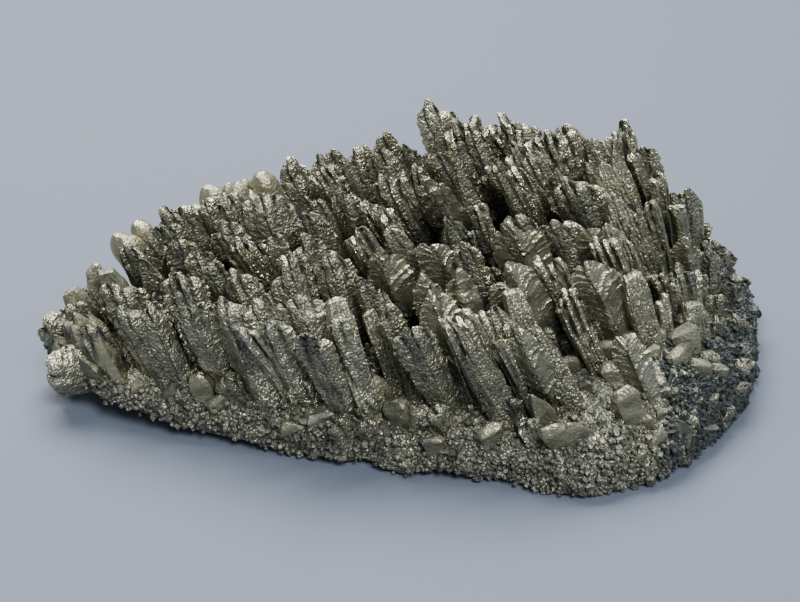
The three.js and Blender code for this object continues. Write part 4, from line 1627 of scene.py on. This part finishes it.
class SPECIMEN_OT_stage(bpy.types.Operator):
    """Lays the pale floor, hangs the soft lights and sets the camera"""

    bl_idname = "specimen.stage"
    bl_label = "Stage, light and camera"

    def execute(self, context):
        settings = context.scene.specimen
        deselect_all()
        bpy.ops.mesh.primitive_plane_add(size=FLOOR_SIZE, location=(0, 0, 0))
        floor = context.object
        floor.name = "studio_paper"
        floor.data.materials.append(floor_paper("matt studio paper", settings.floor))
        for name, (place, size, colour), power in (
            ("key_above_behind", KEY, settings.key_power),
            ("fill_front_right", FILL, settings.fill_power),
        ):
            soft_light(name, place, size, power, colour)
        world = bpy.data.worlds.new("Studio")
        world.use_nodes = True
        background = world.node_tree.nodes["Background"]
        background.inputs["Color"].default_value = ROOM_COLOUR
        background.inputs["Strength"].default_value = ROOM_STRENGTH
        context.scene.world = world
        elevation = settings.camera_height
        away = Vector((0, -math.cos(elevation), math.sin(elevation))) * settings.camera_distance
        bpy.ops.object.camera_add(location=Vector(MIDDLE) + away)
        camera = context.object
        camera.data.lens = LENS
        camera.data.sensor_width = SENSOR
        camera.data.clip_start = 0.01
        aim(camera, MIDDLE)
        context.scene.camera = camera
        return {"FINISHED"}


OPERATORS = (
    SPECIMEN_OT_crust, SPECIMEN_OT_rim_grains, SPECIMEN_OT_flank_needles, SPECIMEN_OT_granular_blades,
    SPECIMEN_OT_fern_blades, SPECIMEN_OT_ribbed_columns, SPECIMEN_OT_smooth_plates,
    SPECIMEN_OT_granular_shards, SPECIMEN_OT_ground_crystals, SPECIMEN_OT_stage,
)


class SPECIMEN_PT_panel(bpy.types.Panel):
    """Lists the steps that dress the crystal cluster"""

    bl_idname = "SPECIMEN_PT_panel"
    bl_label = "Crystal cluster"
    bl_space_type = "VIEW_3D"
    bl_region_type = "UI"
    bl_category = "Crystals"

    def draw(self, context):
        for operator in OPERATORS:
            self.layout.operator(operator.bl_idname)
        for key in SpecimenSettings.__annotations__:
            self.layout.prop(context.scene.specimen, key)


def register():
    bpy.utils.register_class(SpecimenSettings)
    bpy.types.Scene.specimen = bpy.props.PointerProperty(type=SpecimenSettings)
    for operator in OPERATORS:
        bpy.utils.register_class(operator)
    bpy.utils.register_class(SPECIMEN_PT_panel)


def unregister():
    bpy.utils.unregister_class(SPECIMEN_PT_panel)
    for operator in reversed(OPERATORS):
        bpy.utils.unregister_class(operator)
    del bpy.types.Scene.specimen
    bpy.utils.unregister_class(SpecimenSettings)


def main():
    register()
    for operator in OPERATORS:
        area, name = operator.bl_idname.split(".")
        getattr(getattr(bpy.ops, area), name)()
    for blank in BLANKS.values():
        remove(blank["object"])
    BLANKS.clear()


if __name__ == "__main__":
    main()
